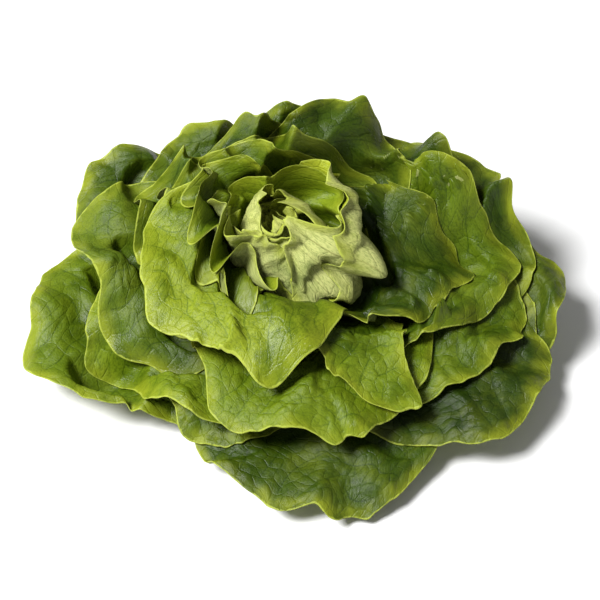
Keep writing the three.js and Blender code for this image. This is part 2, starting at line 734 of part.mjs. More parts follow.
// The blade of leaf n, moved out near whatever inside it would touch it.
function clearBlade(n, inside) {
  for (let move = 0; move < MOST_MOVES; move++) {
    const wide = solid(bladeOf(n, CLEARANCE));
    const near = inside.flatMap((other) => touches(wide, other));
    if (!near.length) break;
    for (const [key, place] of placed[n]) {
      const column = key % FINEST;
      const row = (key - column) / FINEST;
      const here = pointAt((column / FINEST) * TURN, ROWS[row], place.layer);
      if (near.some((touch) => touch.distanceTo(here) < MOVE_REACH)) place.layer += MOVE / place.gauge;
    }
  }
  return bladeOf(n);
}

function leafColour(layer) {
  if (layer < MIDDLE_LAYER) return HEART_COLOUR.clone().lerp(MIDDLE_COLOUR, layer / MIDDLE_LAYER);
  return MIDDLE_COLOUR.clone().lerp(OUTER_COLOUR, (layer - MIDDLE_LAYER) / (1 - MIDDLE_LAYER));
}

const head = new THREE.Group();

function addPiece(name, geometry, color, roughness) {
  geometry.computeVertexNormals();
  const piece = new THREE.Mesh(geometry, new THREE.MeshStandardMaterial({ color, roughness, metalness: 0 }));
  piece.name = name;
  head.add(piece);
}

const stem = turned([[0, 0], ...STEM_SIDE, [0, STEM_TOP]], STEM_SIDES);
const heart = heartGeometry();
addPiece("stem", stem, STEM_COLOUR, STEM_ROUGHNESS);
addPiece("heart", heart, HEART_COLOUR, LEAF_ROUGHNESS);
const inside = [geometrySolid(stem), geometrySolid(heart)];
for (let n = HEART_LEAVES; n < LEAVES.length; n++) {
  const blade = clearBlade(n, inside);
  inside.push(solid(blade));
  addPiece(LEAVES[n].name, geometryOf(blade), leafColour(LEAVES[n].layer), LEAF_ROUGHNESS);
}

export default head;
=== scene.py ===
"""A butterhead lettuce as picked, grown leaf by leaf round its cut stem.

The shapes are worked out in millimetres and built in metres, with +Z up, the middle of the stem's cut face
at the origin and the front of the head towards -Y. The head is a family of layers wound round the stem.
Each leaf is a flat outline laid on a layer, with a form of its own, pushed out by the leaves inside it.
"""

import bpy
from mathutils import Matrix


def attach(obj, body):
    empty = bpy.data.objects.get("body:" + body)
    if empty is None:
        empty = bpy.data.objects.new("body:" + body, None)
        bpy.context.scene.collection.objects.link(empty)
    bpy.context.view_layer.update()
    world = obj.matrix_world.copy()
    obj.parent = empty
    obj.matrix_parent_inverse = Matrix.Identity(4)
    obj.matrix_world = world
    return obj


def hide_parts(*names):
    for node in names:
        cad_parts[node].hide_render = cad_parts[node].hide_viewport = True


bl_info = {
    "name": "Butterhead Lettuce",
    "version": (1, 0, 0),
    "blender": (4, 5, 0),
    "location": "3D View > Sidebar > Lettuce",
    "description": "Grows the leaves, the heart and the cut stem of a butterhead lettuce and lights it",
    "category": "Object",
}

import functools
import math
from dataclasses import dataclass
from types import SimpleNamespace

import bpy
import numpy as np
from mathutils import Vector

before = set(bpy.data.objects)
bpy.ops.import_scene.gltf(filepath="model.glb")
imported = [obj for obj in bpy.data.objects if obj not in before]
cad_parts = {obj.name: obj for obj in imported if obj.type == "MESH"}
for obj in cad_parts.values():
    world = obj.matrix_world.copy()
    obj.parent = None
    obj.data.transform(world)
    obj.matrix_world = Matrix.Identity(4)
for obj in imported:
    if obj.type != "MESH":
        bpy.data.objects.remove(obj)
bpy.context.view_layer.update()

MM = 0.001
TURN = 2 * math.pi
DEGREE = math.pi / 180

# The layers, a row for each of seven from the innermost out. A climb is in degrees from level, at each knot
# of arc length from the foot of the leaf.
KNOTS = (0, 30, 50, 70, 100, 140)
FRONT_CLIMB = (
    (80, 110, 180, 215, 230, 240),
    (66, 90, 145, 190, 205, 205),
    (70, 74, 72, 55, 40, 30),
    (74, 46, -8, -24, -26, -22),
    (48, 20, -4, -17, -21, -20),
    (32, 10, -4, -9, -11, -11),
    (20, 3, -3, -5, -5, -5),
)
BACK_CLIMB = (
    (80, 110, 180, 215, 230, 240),
    (66, 90, 145, 190, 205, 205),
    (74, 84, 92, 94, 86, 60),
    (75, 73, 71, 61, 43, 16),
    (70, 66, 60, 51, 36, 14),
    (62, 57, 52, 46, 35, 19),
    (53, 48, 44, 39, 31, 20),
)
BACK_POWER = 1.7
FOOT_HEIGHT = (47, 42, 37.5, 33, 25, 16.8, 10)
FOOT_RADIUS = (4, 7.5, 9.5, 11, 12.9, 14.4, 15.5)
LAST = len(FOOT_RADIUS) - 1

# The layers close over the heart in front and on the right, bulge out on the right and crest on the left.
# A side is the azimuth it faces, its least cosine, the range of cosines it fades over, what it adds to the
# climbs at the knots, and the share of that for each row.
SIDES = (
    (-40, -0.35, 0.7, (-20, 2, 46, 105, 150, 165), (0, 0, 1, 0, 0, 0, 0)),
    (15, 0.3, 0.6, (-20, -20, -22, -30, -30, -30), (0, 0.2, 1, 0, 0, 0, 0)),
    (15, 0.2, 0.7, (-32, -30, -16, 0, 6, 4), (0, 0, 0, 1, 0.45, 0.1, 0)),
    (210, 0.1, 0.7, (-8, 16, 18, 0, 0, 0), (0, 0, 0, 1, 0.1, 0, 0)),
)

# Layers at which the distance between layers is measured.
LAYER_STEP = 0.02
LAYERS = np.arange(-0.3, 1.5, LAYER_STEP)
ARC_STEP = 0.5

# The outline of a leaf, and the form that fades in above its foot.
MIDDLE = 0.46
BELOW_FOOT = 1.12
LEAST_TURN_RADIUS = 9
FORM_STARTS_AT = 8
FORM_GROWS_OVER = 45
RIM_POWER = 1.4
CURL_STARTS_AT = 0.5
ROLL_WIDTH = 6
ROLL_POWER = 1.5
CREASE_EASE = 2

# The midrib on the under side.
RIB_WIDTH = 1.6
RIB_NARROWS_BY = 1.2
LEAST_RIB_WIDTH = 0.6
RIB_ENDS_AT = 0.85

# Spacing of the leaves, square to the layers. The gauge is millimetres from one whole layer to the next.
# A leaf's room reaches past its margin by the clear distance, and from there it falls off.
THIN_AT_FOOT = 0.55
THIN_GROWS_OVER = 45
LEAST_GAUGE = 15
CLEAR_AT_FOOT = 1.5
CLEAR_AT_RIM = 8
CLEAR_GROWS_OVER = 50
ROOM_SLOPE = 1.7
SOFTNESS = 1

# The lattice of azimuth and arc length on which the leaves push each other out.
COLUMNS = 360
ROW_STEP = 1.5
ARC_ROWS = np.arange(0, 150, ROW_STEP)
AZIMUTH_COLUMNS = np.arange(COLUMNS) * TURN / COLUMNS

# Slow bends of the whole head: radians for a millimetre, millimetres, directions of wave and move, start.
BENDS = (
    (0.105, 3.4, (1, 0.3, 0.5), (0.2, -0.5, 1), 0.4),
    (0.098, 3.0, (-0.4, 1, 0.6), (1, 0.3, 0.2), 2.1),
    (0.115, 2.6, (0.5, -0.6, 1), (-0.3, 1, 0.3), 4.0),
    (0.24, 1.1, (0.8, 0.9, -0.3), (0.5, -0.4, 1), 1.3),
    (0.26, 1.0, (-0.9, 0.5, 0.8), (0.7, 0.9, 0.1), 5.2),
)
BEND_STARTS_AT = 16
BEND_GROWS_OVER = 50
BEND_LIFT_OVER = 30

# The heart leans back and to the left.
HEART_LEAN = (-15, 15, 0)
LEAN_STARTS_AT = 40
LEAN_GROWS_OVER = 45
LEAN_REACH = 95


@dataclass
class Leaf:
    """Azimuth in degrees from +X, layer, length and half width in millimetres, and the leaf's own form.

    A lobe or a crease is a direction from the tip and a width, both in degrees, and its millimetres.
    A wave is a count round the blade, its millimetres and its start, and deep is how far in the waves reach.
    Square and taper are the powers of the outline's upper and lower parts, gap is its room, tone its age.
    """

    name: str
    azimuth: float
    layer: float
    length: float
    half: float
    square: float = 2.2
    taper: float = 1.05
    lobes: tuple = ()
    cup: float = 0
    curl: float = 0
    roll: float = 2
    waves: tuple = ()
    creases: tuple = ()
    deep: float = 22
    rib: float = 0.5
    gap: float = 2
    tone: float = 0


# Random starts for the ruffles, drawn in the order of the table.
DRAW_FACTOR = 16807
DRAW_RANGE = 2147483647
draw = {"last": 20261}
RUFFLE_COUNTS = (5, 9, 13)

# The heart: what its innermost leaf has, and how much more its outermost has. A wave has its count first.
HEART_LEAVES = 9
GOLDEN_TURN = 137.5
FIRST_AZIMUTH = 150
HEART_LAYER = (0.02, 0.23)
HEART_LENGTH = (32, 30)
HEART_HALF = (12, 12)
HEART_WAVES = ((4, 1, 2), (7, 1, 1.5), (10, 0.5, 1))
FOLD_RANGE = 110
FOLD_WIDTH = 12
FOLD_HEIGHT = 4
HEART_FORM = {"roll": 1.5, "deep": 16, "rib": 0.3, "gap": 0.9}


def random_start():
    draw["last"] = draw["last"] * DRAW_FACTOR % DRAW_RANGE
    return draw["last"] / DRAW_RANGE * TURN


def ruffle(*heights):
    """Waves of these heights in millimetres, with starts drawn at random."""
    return tuple((count, height, random_start()) for count, height in zip(RUFFLE_COUNTS, heights))


def heart_leaf(k):
    """Leaf k of the heart, a golden turn round from the one inside it, with a fold in or out."""
    out = k / (HEART_LEAVES - 1)
    layer, length, half = (first + more * out for first, more in (HEART_LAYER, HEART_LENGTH, HEART_HALF))
    waves = tuple((count, height + more * out, random_start()) for count, height, more in HEART_WAVES)
    fold = (random_start() / TURN - 0.5) * FOLD_RANGE
    creases = ((fold, FOLD_WIDTH, FOLD_HEIGHT if k % 2 else -FOLD_HEIGHT),)
    azimuth = FIRST_AZIMUTH + GOLDEN_TURN * k
    return Leaf("heart", azimuth, layer, length, half, waves=waves, creases=creases, tone=layer, **HEART_FORM)


LEAVES = [heart_leaf(k) for k in range(HEART_LEAVES)]
LEAVES += [
    Leaf("inner_leaf_1", 275, 0.3, 56, 36, creases=((-20, 10, 5),), waves=ruffle(4, 3, 1.5),
         roll=1, tone=0.2),
    Leaf("inner_leaf_2", 224, 0.31, 60, 28, creases=((15, 12, 7),), waves=ruffle(5, 5, 3), roll=1, tone=0.45),
    Leaf("inner_leaf_3", 95, 0.35, 63, 30, waves=ruffle(3, 5, 4), tone=0.5),
    Leaf("inner_leaf_4", 188, 0.36, 68, 30, waves=ruffle(4, 11, 4), tone=0.56),
    Leaf("inner_leaf_5", 330, 0.325, 66, 30, creases=((25, 12, 6),), waves=ruffle(4, 2, 1), roll=1, tone=0.3),
    Leaf("inner_leaf_6", 155, 0.4, 78, 36, curl=2, waves=ruffle(4, 14, 4), deep=24, tone=0.66),
    Leaf("inner_leaf_7", 24, 0.345, 70, 40, creases=((-10, 12, 7),), waves=ruffle(4, 2, 1), tone=0.3),
    Leaf("inner_leaf_8", 125, 0.44, 84, 38, curl=2, waves=ruffle(4, 12, 4), tone=0.7),
    Leaf("inner_leaf_9", 210, 0.5, 85, 64, waves=((3, 1.5, 2.5), (7, 1.5, 1)), creases=((60, 8, 11),),
         lobes=((-48, 28, 19), (58, 8, -2), (98, 20, -14)), tone=0.46),
    Leaf("inner_leaf_10", 15, 0.52, 84, 50, waves=((3, 5, 2), (6, 4, 1.5)),
         creases=((0, 22, 12),), lobes=((-48, 24, -13),), tone=0.84),
    Leaf("inner_leaf_11", 195, 0.53, 76, 34, waves=ruffle(4, 13, 4), tone=0.7),
    Leaf("inner_leaf_12", 100, 0.55, 88, 38, curl=2, waves=ruffle(4, 14, 4), tone=0.72),
    Leaf("middle_leaf_1", 150, 0.583, 88, 40, curl=2, waves=ruffle(5, 14, 4), tone=0.72),
    Leaf("middle_leaf_2", 306, 0.6, 88, 25, cup=-5, waves=((3, 3, 3), (5, 2, 1)), square=1.7, tone=0.55),
    Leaf("middle_leaf_3", 72, 0.625, 112, 32, curl=2, waves=ruffle(6, 9, 4), square=2.8, tone=0.84),
    Leaf("middle_leaf_4", 18, 0.642, 106, 54, curl=2, waves=((4, 14, 2.5), (6, 8, 1)), roll=5, tone=0.66),
    Leaf("middle_leaf_5", 280, 0.667, 80, 74, waves=((3, 3, 0), (5, 2, 1), (9, 1, 2)),
         creases=((8, 7, 4),), lobes=((8, 4, -3), (-48, 10, 5)), square=3.4, tone=0.56),
    Leaf("middle_leaf_6", 112, 0.675, 100, 40, curl=2, waves=ruffle(5, 13, 4), tone=0.8),
    Leaf("middle_leaf_7", 143, 0.692, 102, 44, curl=2, waves=ruffle(7, 12, 4), tone=0.74),
    Leaf("middle_leaf_8", 166, 0.725, 116, 54, waves=((3, 8, 3.4), (5, 5, 2), (9, 3, 1)),
         square=2.6, tone=0.7),
    Leaf("middle_leaf_9", 351, 0.758, 108, 58, waves=((3, 8, 0), (6, 4, 0), (10, 2, 1)),
         creases=((-10, 20, 6),), lobes=((-45, 25, -8),), tone=0.68),
    Leaf("middle_leaf_10", 198, 0.783, 104, 66, waves=((3, 7, 1), (6, 5, 0), (10, 2, 1)),
         creases=((10, 16, 9),), lobes=((24, 24, -18), (75, 20, 5)), square=2.6, tone=0.56),
    Leaf("middle_leaf_11", 52, 0.8, 110, 50, waves=ruffle(6, 8, 3), tone=0.95),
    Leaf("outer_leaf_1", 96, 0.808, 106, 44, waves=ruffle(6, 8, 3), tone=0.8),
    Leaf("outer_leaf_2", 30, 0.867, 122, 60, waves=((3, 8, 0), (5, 5, 0), (9, 3, 0)), square=2.6, tone=0.9),
    Leaf("outer_leaf_3", 130, 0.85, 116, 42, waves=ruffle(6, 8, 3), tone=0.8),
    Leaf("outer_leaf_4", 231, 0.892, 78, 44, waves=((3, 4, 0), (6, 2, 0)), tone=0.7),
    Leaf("outer_leaf_5", 341, 0.908, 118, 64, waves=((3, 5, 1), (5, 4, 0), (9, 3, 0)),
         lobes=((-40, 20, 4),), square=2.8, tone=0.98),
    Leaf("outer_leaf_6", 150, 0.858, 130, 42, waves=ruffle(5, 7, 2), tone=0.8),
    Leaf("outer_leaf_7", 187, 0.917, 130, 54, waves=((3, 6, 2.6), (6, 4, 0), (10, 2, 0)),
         square=2.8, tone=0.62),
    Leaf("outer_leaf_8", 4, 0.942, 128, 50, waves=((3, 7, 1), (6, 4, 0)), tone=0.9),
    Leaf("outer_leaf_9", 281, 0.958, 101, 74, waves=((3, 3, 1), (5, 2, 0), (9, 1.5, 1)),
         creases=((-16, 8, -4), (10, 8, 2)), square=2.8, tone=0.85),
]


def smooth(x):
    t = np.clip(x, 0, 1)
    return t * t * (3 - 2 * t)


def hump(x, middle, width):
    return np.exp(-(((x - middle) / width) ** 2))


def row_shares(layer):
    """Shares of the rows of the layer tables at a layer, and straight on past the first and last rows."""
    at = np.asarray(layer) * LAST
    row = np.clip(np.floor(at), 0, LAST - 1)
    past = at - row
    return [np.where(row == i, 1 - past, 0) + np.where(row + 1 == i, past, 0) for i in range(LAST + 1)]


def blend(shares, values):
    return sum(share * value for share, value in zip(shares, values))


def profile(azimuth, arc, layer):
    """Radius and height of a layer: arcs between the knots, then a straight end."""
    shares = row_shares(layer)
    back = ((1 + np.sin(azimuth)) / 2) ** BACK_POWER
    sides = [(smooth((np.cos(azimuth - to * DEGREE) - least) / fade) * blend(shares, rows), climb)
             for to, least, fade, climb, rows in SIDES]
    climbs = []
    for k in range(len(KNOTS)):
        front = blend(shares, [row[k] for row in FRONT_CLIMB])
        rear = blend(shares, [row[k] for row in BACK_CLIMB])
        added = sum(share * climb[k] for share, climb in sides)
        climbs.append((front + (rear - front) * back + added) * DEGREE)
    radius = blend(shares, FOOT_RADIUS)
    height = blend(shares, FOOT_HEIGHT)
    for k in range(len(KNOTS) - 1):
        span = KNOTS[k + 1] - KNOTS[k]
        run = np.clip(arc - KNOTS[k], 0, span)
        half = (climbs[k + 1] - climbs[k]) / span * run / 2
        chord = run * np.sinc(half / np.pi)
        radius = radius + chord * np.cos(climbs[k] + half)
        height = height + chord * np.sin(climbs[k] + half)
    end = np.maximum(arc - KNOTS[-1], 0)
    return radius + end * np.cos(climbs[-1]), height + end * np.sin(climbs[-1])


@functools.lru_cache(maxsize=None)
def layer_heights():
    """Millimetres from the first of LAYERS to each of them, square to the layers, over the lattice."""
    azimuth, arc = AZIMUTH_COLUMNS[:, None, None], ARC_ROWS[None, :, None]
    r, z = profile(azimuth, arc, LAYERS)
    r_on, z_on = profile(azimuth, arc + ARC_STEP, LAYERS)
    a, b = (r_on - r)[..., 1:], (z_on - z)[..., 1:]
    across = (np.diff(r) * b - np.diff(z) * a) / np.hypot(a, b)
    across = np.maximum(across, LEAST_GAUGE * LAYER_STEP)
    return np.concatenate([np.zeros(r[..., :1].shape), np.cumsum(across, -1)], -1)


def height_of(layer):
    """Over the lattice, the height of one layer."""
    heights = layer_heights()
    at = (layer - LAYERS[0]) / LAYER_STEP
    k = int(at)
    return heights[..., k] + (heights[..., k + 1] - heights[..., k]) * (at - k)


def layer_of(height):
    """Over the lattice, the layer at a height, and how much the layer rises for a millimetre there."""
    heights = layer_heights()
    k = np.clip((heights <= height[..., None]).sum(-1) - 1, 0, len(LAYERS) - 2)[..., None]
    below = np.take_along_axis(heights, k, -1)[..., 0]
    per_mm = LAYER_STEP / (np.take_along_axis(heights, k + 1, -1)[..., 0] - below)
    return LAYERS[k[..., 0]] + (height - below) * per_mm, per_mm


def reach(leaf, chi):
    """From the leaf's middle to its margin, in direction chi from the tip."""
    side, along = np.abs(np.sin(chi)), np.cos(chi)
    end = leaf.length * np.where(along > 0, 1 - MIDDLE, MIDDLE * BELOW_FOOT)
    power = np.where(along > 0, leaf.square, leaf.taper)
    base = ((side / leaf.half) ** power + (np.abs(along) / end) ** power) ** (-1 / power)
    return base + sum(mm * hump(chi / DEGREE, to, width) for to, width, mm in leaf.lobes)


def flat_place(leaf, chi, rho):
    """Across and along the flat blade from its foot, at rho from its middle in direction chi."""
    return rho * np.sin(chi), rho * np.cos(chi) + MIDDLE * leaf.length


def turn_radius(leaf, arc):
    """Radius at which the flat blade is wound round the stem's axis."""
    radius, _ = profile(leaf.azimuth * DEGREE, arc, leaf.layer)
    return np.maximum(radius, LEAST_TURN_RADIUS)


def relief(leaf, chi, most, share):
    """How far the leaf's own form stands out from its layer."""
    x, y = flat_place(leaf, chi, share * most)
    inside = (1 - share) * most
    near = np.exp(-((inside / leaf.deep) ** RIM_POWER))
    rise = smooth((y - FORM_STARTS_AT) / FORM_GROWS_OVER)
    cup = leaf.cup * (x / leaf.half) ** 2 * rise
    curl = leaf.curl * smooth((y / leaf.length - CURL_STARTS_AT) / (1 - CURL_STARTS_AT))
    waves = sum(height * np.sin(count * chi + start) for count, height, start in leaf.waves)
    roll = leaf.roll * np.exp(-((inside / ROLL_WIDTH) ** ROLL_POWER))
    creases = sum(mm * np.exp(-np.hypot(chi / DEGREE - to, CREASE_EASE) / width) * share ** 2
                  for to, width, mm in leaf.creases)
    return cup + curl + (waves * near + roll + creases) * rise


def rib_height(leaf, x, y):
    """The midrib thickens the lower leaf on its under side."""
    along = y / leaf.length
    width = np.maximum(leaf.rib * (RIB_WIDTH - RIB_NARROWS_BY * along), LEAST_RIB_WIDTH)
    return leaf.rib * (1 - smooth(along / RIB_ENDS_AT)) * hump(x, 0, width)


def thinning(arc):
    """Blades and the gaps between them are thinner near the stem, where the feet crowd together."""
    return THIN_AT_FOOT + (1 - THIN_AT_FOOT) * smooth(arc / THIN_GROWS_OVER)


@functools.lru_cache(maxsize=None)
def stacked_layers():
    """Each leaf's layer on the lattice, pushed out by the leaves inside it, and its rise for a millimetre."""
    azimuth, arc = AZIMUTH_COLUMNS[:, None], ARC_ROWS[None, :]
    clear = CLEAR_AT_FOOT + (CLEAR_AT_RIM - CLEAR_AT_FOOT) * smooth(arc / CLEAR_GROWS_OVER)
    thin = thinning(arc)
    inner, stack = [], []
    for leaf in LEAVES:
        away = (azimuth - leaf.azimuth * DEGREE + math.pi) % TURN - math.pi
        x = away * turn_radius(leaf, arc)
        y = arc - MIDDLE * leaf.length
        chi, rho = np.arctan2(x, y), np.hypot(x, y)
        most = reach(leaf, chi)
        share = np.minimum(rho / most, 1)
        height = height_of(leaf.layer) + relief(leaf, chi, most, share)
        for other, room, outside in inner:
            room = room - ROOM_SLOPE * np.maximum(outside - clear, 0)
            height = (height + other + room + np.hypot(height - other - room, SOFTNESS)) / 2
        rib = rib_height(leaf, *flat_place(leaf, chi, share * most))
        inner.append((height, leaf.gap * thin + rib, np.maximum(rho - most, 0)))
        stack.append(layer_of(height))
    return stack


def taps(f):
    """Weights of the four lattice points round a place, for a smooth curve through them."""
    return (
        ((2 - f) * f - 1) * f / 2,
        (f * f * (3 * f - 5) + 2) / 2,
        ((4 - 3 * f) * f + 1) * f / 2,
        (f - 1) * f * f / 2,
    )


def on_lattice(values, azimuth, arc):
    u, v = azimuth / TURN * COLUMNS, np.clip(arc / ROW_STEP, 0, len(ARC_ROWS) - 1)
    i, j = np.floor(u).astype(int), np.floor(v).astype(int)
    found = 0
    for a, wide in enumerate(taps(u - i)):
        for b, high in enumerate(taps(v - j)):
            column, row = (i + a - 1) % COLUMNS, np.clip(j + b - 1, 0, len(ARC_ROWS) - 1)
            found = found + wide * high * values[column, row]
    return found


def bend(points):
    """Slow bends, so that no leaf is regular. What lay side by side stays so."""
    away = smooth((np.hypot(points[..., 0], points[..., 1]) - BEND_STARTS_AT) / BEND_GROWS_OVER)
    lifted = smooth(points[..., 2] / BEND_LIFT_OVER)
    leaning = smooth((points[..., 2] - LEAN_STARTS_AT) / LEAN_GROWS_OVER)
    leaning = leaning * (1 - smooth(np.hypot(points[..., 0], points[..., 1]) / LEAN_REACH))
    bent = points + leaning[..., None] * np.array(HEART_LEAN)
    for pitch, mm, wave, move, start in BENDS:
        along = points @ (np.array(wave) / np.linalg.norm(wave) * pitch)
        shift = (away * np.sin(along + start))[..., None] * np.array(move) / np.linalg.norm(move) * mm
        shift[..., 2] *= lifted
        bent += shift
    return bent


def point_at(azimuth, arc, layer):
    radius, height = profile(azimuth, arc, layer)
    return bend(np.stack([radius * np.cos(azimuth), radius * np.sin(azimuth), height], -1))


class Nodes:
    """A number worked out by a material's nodes, so that one formula can serve the mesh and the colour."""

    def __init__(self, tree, socket):
        self.tree = tree
        self.socket = socket

    def __add__(self, other):
        return worked_out(self.tree, "ADD", self, other)

    def __sub__(self, other):
        return worked_out(self.tree, "SUBTRACT", self, other)

    def __rsub__(self, other):
        return worked_out(self.tree, "SUBTRACT", other, self)

    def __mul__(self, other):
        return worked_out(self.tree, "MULTIPLY", self, other)

    def __truediv__(self, other):
        return worked_out(self.tree, "DIVIDE", self, other)

    __rmul__ = __mul__


def worked_out(tree, operation, *values):
    node = tree.nodes.new("ShaderNodeMath")
    node.operation = operation
    for slot, value in zip(node.inputs, values):
        if isinstance(value, Nodes):
            tree.links.new(value.socket, slot)
        else:
            slot.default_value = value
    return Nodes(tree, node.outputs[0])


def either(operation, function):
    """One step of a formula, for arrays and for nodes."""

    def run(first, *others):
        if isinstance(first, Nodes):
            return worked_out(first.tree, operation, first, *others)
        return function(first, *others)

    return run


sine = either("SINE", np.sin)
size_of = either("ABSOLUTE", np.abs)
whole = either("FLOOR", np.floor)
root = either("SQRT", np.sqrt)
least = either("MINIMUM", np.minimum)
greatest = either("MAXIMUM", np.maximum)

# The veins. Side veins leave the midrib at a slant and bend to the tip. A network fills the rest.
SIDE_VEIN_PITCH = 15
SIDE_VEIN_SLANT = 0.62
SIDE_VEIN_BEND = 0.006
SIDE_VEIN_STAGGER = 0.45
ACROSS_SLANT = 1 / math.hypot(1, SIDE_VEIN_SLANT)
HALF_PITCH = SIDE_VEIN_PITCH * ACROSS_SLANT / 2
LONG_WANDER, LONG_WAVE = 2.2, 0.13
SHORT_WANDER, SHORT_WAVE = 1.3, 0.16
LEFT_OF_MIDRIB = 1e-3
CELL = 7.5
CELL_HEIGHT = 6.5
CELL_WANDER, CELL_WAVE = 1.6, 0.31
CELL_JITTER = 0.32
CELL_TURNS = (12.99, 78.23)
SECOND_TURN = (1.73, 2.1)
FAR = 9


def side_vein_distance(x, y, seed):
    wander = LONG_WANDER * sine(LONG_WAVE * x + seed)
    wander = wander + SHORT_WANDER * sine(SHORT_WAVE * (x + 2 * y) + 2 * seed)
    phase = (y + wander - size_of(x) * SIDE_VEIN_SLANT - x * x * SIDE_VEIN_BEND) / SIDE_VEIN_PITCH
    phase = phase + SIDE_VEIN_STAGGER * whole(x * LEFT_OF_MIDRIB)
    between = size_of(phase - whole(phase) - 0.5)
    return (0.5 - between) * (2 * HALF_PITCH)


def network_distance(x, y, seed):
    """Nought on the fine veins, which are the borders between cells scattered over the blade."""
    u = (x + CELL_WANDER * sine(CELL_WAVE * y + seed)) / CELL
    v = (y + CELL_WANDER * sine(CELL_WAVE * x + 2 * seed)) / CELL_HEIGHT
    column, row = whole(u - 0.5), whole(v - 0.5)
    first = second = None
    for i in (column, column + 1):
        for j in (row, row + 1):
            turn = CELL_TURNS[0] * i + CELL_TURNS[1] * j + seed
            away_u = i + 0.5 - u + CELL_JITTER * sine(turn)
            away_v = j + 0.5 - v + CELL_JITTER * sine(SECOND_TURN[0] * turn + SECOND_TURN[1])
            away = root(away_u * away_u + away_v * away_v)
            if first is None:
                first, second = away, away * 0 + FAR
            else:
                second = least(second, greatest(first, away))
                first = least(first, away)
    return (second - first) * CELL


# The blade: half its thickness at the rim and within, and how its surface puckers between the veins.
HALF_RIM = 0.24
HALF_BLADE = 0.36
BLADE_THICKENS_OVER = 8
RIM_BULGE = 0.3
QUILT = 0.7
PUCKER = 0.5
PUCKER_WIDTH = 3.2
PUCKER_STARTS_AT = -1
PUCKER_FADES_OVER = 6
SMOOTH_FOOT = 0.35
CRINKLE = 0.4
CRINKLE_WIDTH = 6
CRINKLES = 21
CRINKLE_DRIFT, CRINKLE_DRIFTS = 3, 7
NICKS = ((9, 0.9), (14, 0.6), (23, 0.3), (41, 0.14), (67, 0.08))
NICK_DRIFT, NICK_DRIFTS = 2.4, 5
MIDRIB_HOLLOW = 0.5
MIDRIB_HOLLOW_WIDTH = 2.2
UNDER_VEIN = 0.28
UNDER_VEIN_WIDTH = 0.9
FINER_VEINS = 1.6
RIM_CROWDING = 1.15
FULL_GROWN = 110
SEED_STEP = 1.7
SMALLEST = 1e-6

# Millimetres from the rim, share of the length from the foot, and the leaf's tone, for its material to read.
POINT_VALUES = ("inside", "along", "age")

# The flat map: tiles side by side, each a little wider than the blade on it.
MAP_NAME = "OFBake"
MAP_EDGE = 1.08
MAP_RIM = 1.02
HEART_TILES = 4

# The cut stem and the small core of the heart that stands on it, as radius and height up the side.
STEM_SIDE = (
    (12.6, 0), (13.1, 0.4), (13.4, 1), (13.6, 4), (12.9, 8), (11.4, 14), (10.2, 22), (8.6, 31), (7.2, 37.5)
)
STEM_TOP = 39
STEM_TURNS = 160
STEM_ROWS = 110
SCAR_PITCH = 6.5
SCAR_RISE = 0.35
SCARS_ROUND = 5
SCAR_SWING = 0.3
CORE_FLOOR = 39.6
CORE_SIDE = ((7.4, 39.6), (8.2, 42), (8.2, 49), (6.6, 56), (3.8, 62))
CORE_TOP = 65
CORE_TURNS = 48
CORE_ROWS = 40


def margin(leaf, chi, seed):
    """The outline with its small nicks, cut off square at the foot."""
    drift = NICK_DRIFT * np.sin(NICK_DRIFTS * chi + seed) + seed
    nicks = sum(mm * np.sin(count * chi + drift) for count, mm in NICKS)
    foot = np.where(np.cos(chi) < 0, MIDDLE * leaf.length / np.maximum(-np.cos(chi), SMALLEST), np.inf)
    return np.minimum(reach(leaf, chi) + nicks, foot)


def disc(cells):
    """A square grid bent to a disc: share of the radius, direction, and the square's own coordinates."""
    side = np.linspace(-1, 1, cells + 1)
    a, b = np.meshgrid(side, side, indexing="ij")
    share = np.maximum(np.abs(a), np.abs(b))
    wide = np.abs(a) >= np.abs(b)
    eighth = TURN / 8
    along_a, along_b = b / np.where(a == 0, 1, a), a / np.where(b == 0, 1, b)
    chi = np.where(wide, eighth * along_a, (2 - along_b) * eighth)
    chi = chi + np.where(np.where(wide, a < 0, b < 0), TURN / 2, 0)
    return 1 - (1 - share) ** RIM_CROWDING, (chi + TURN / 2) % TURN - TURN / 2, a, b


def border(cells):
    """Numbers of the grid's outermost points, once round."""
    wide = cells + 1
    run = np.arange(cells)
    return np.concatenate([run, run * wide + cells, cells * wide + cells - run, (cells - run) * wide])


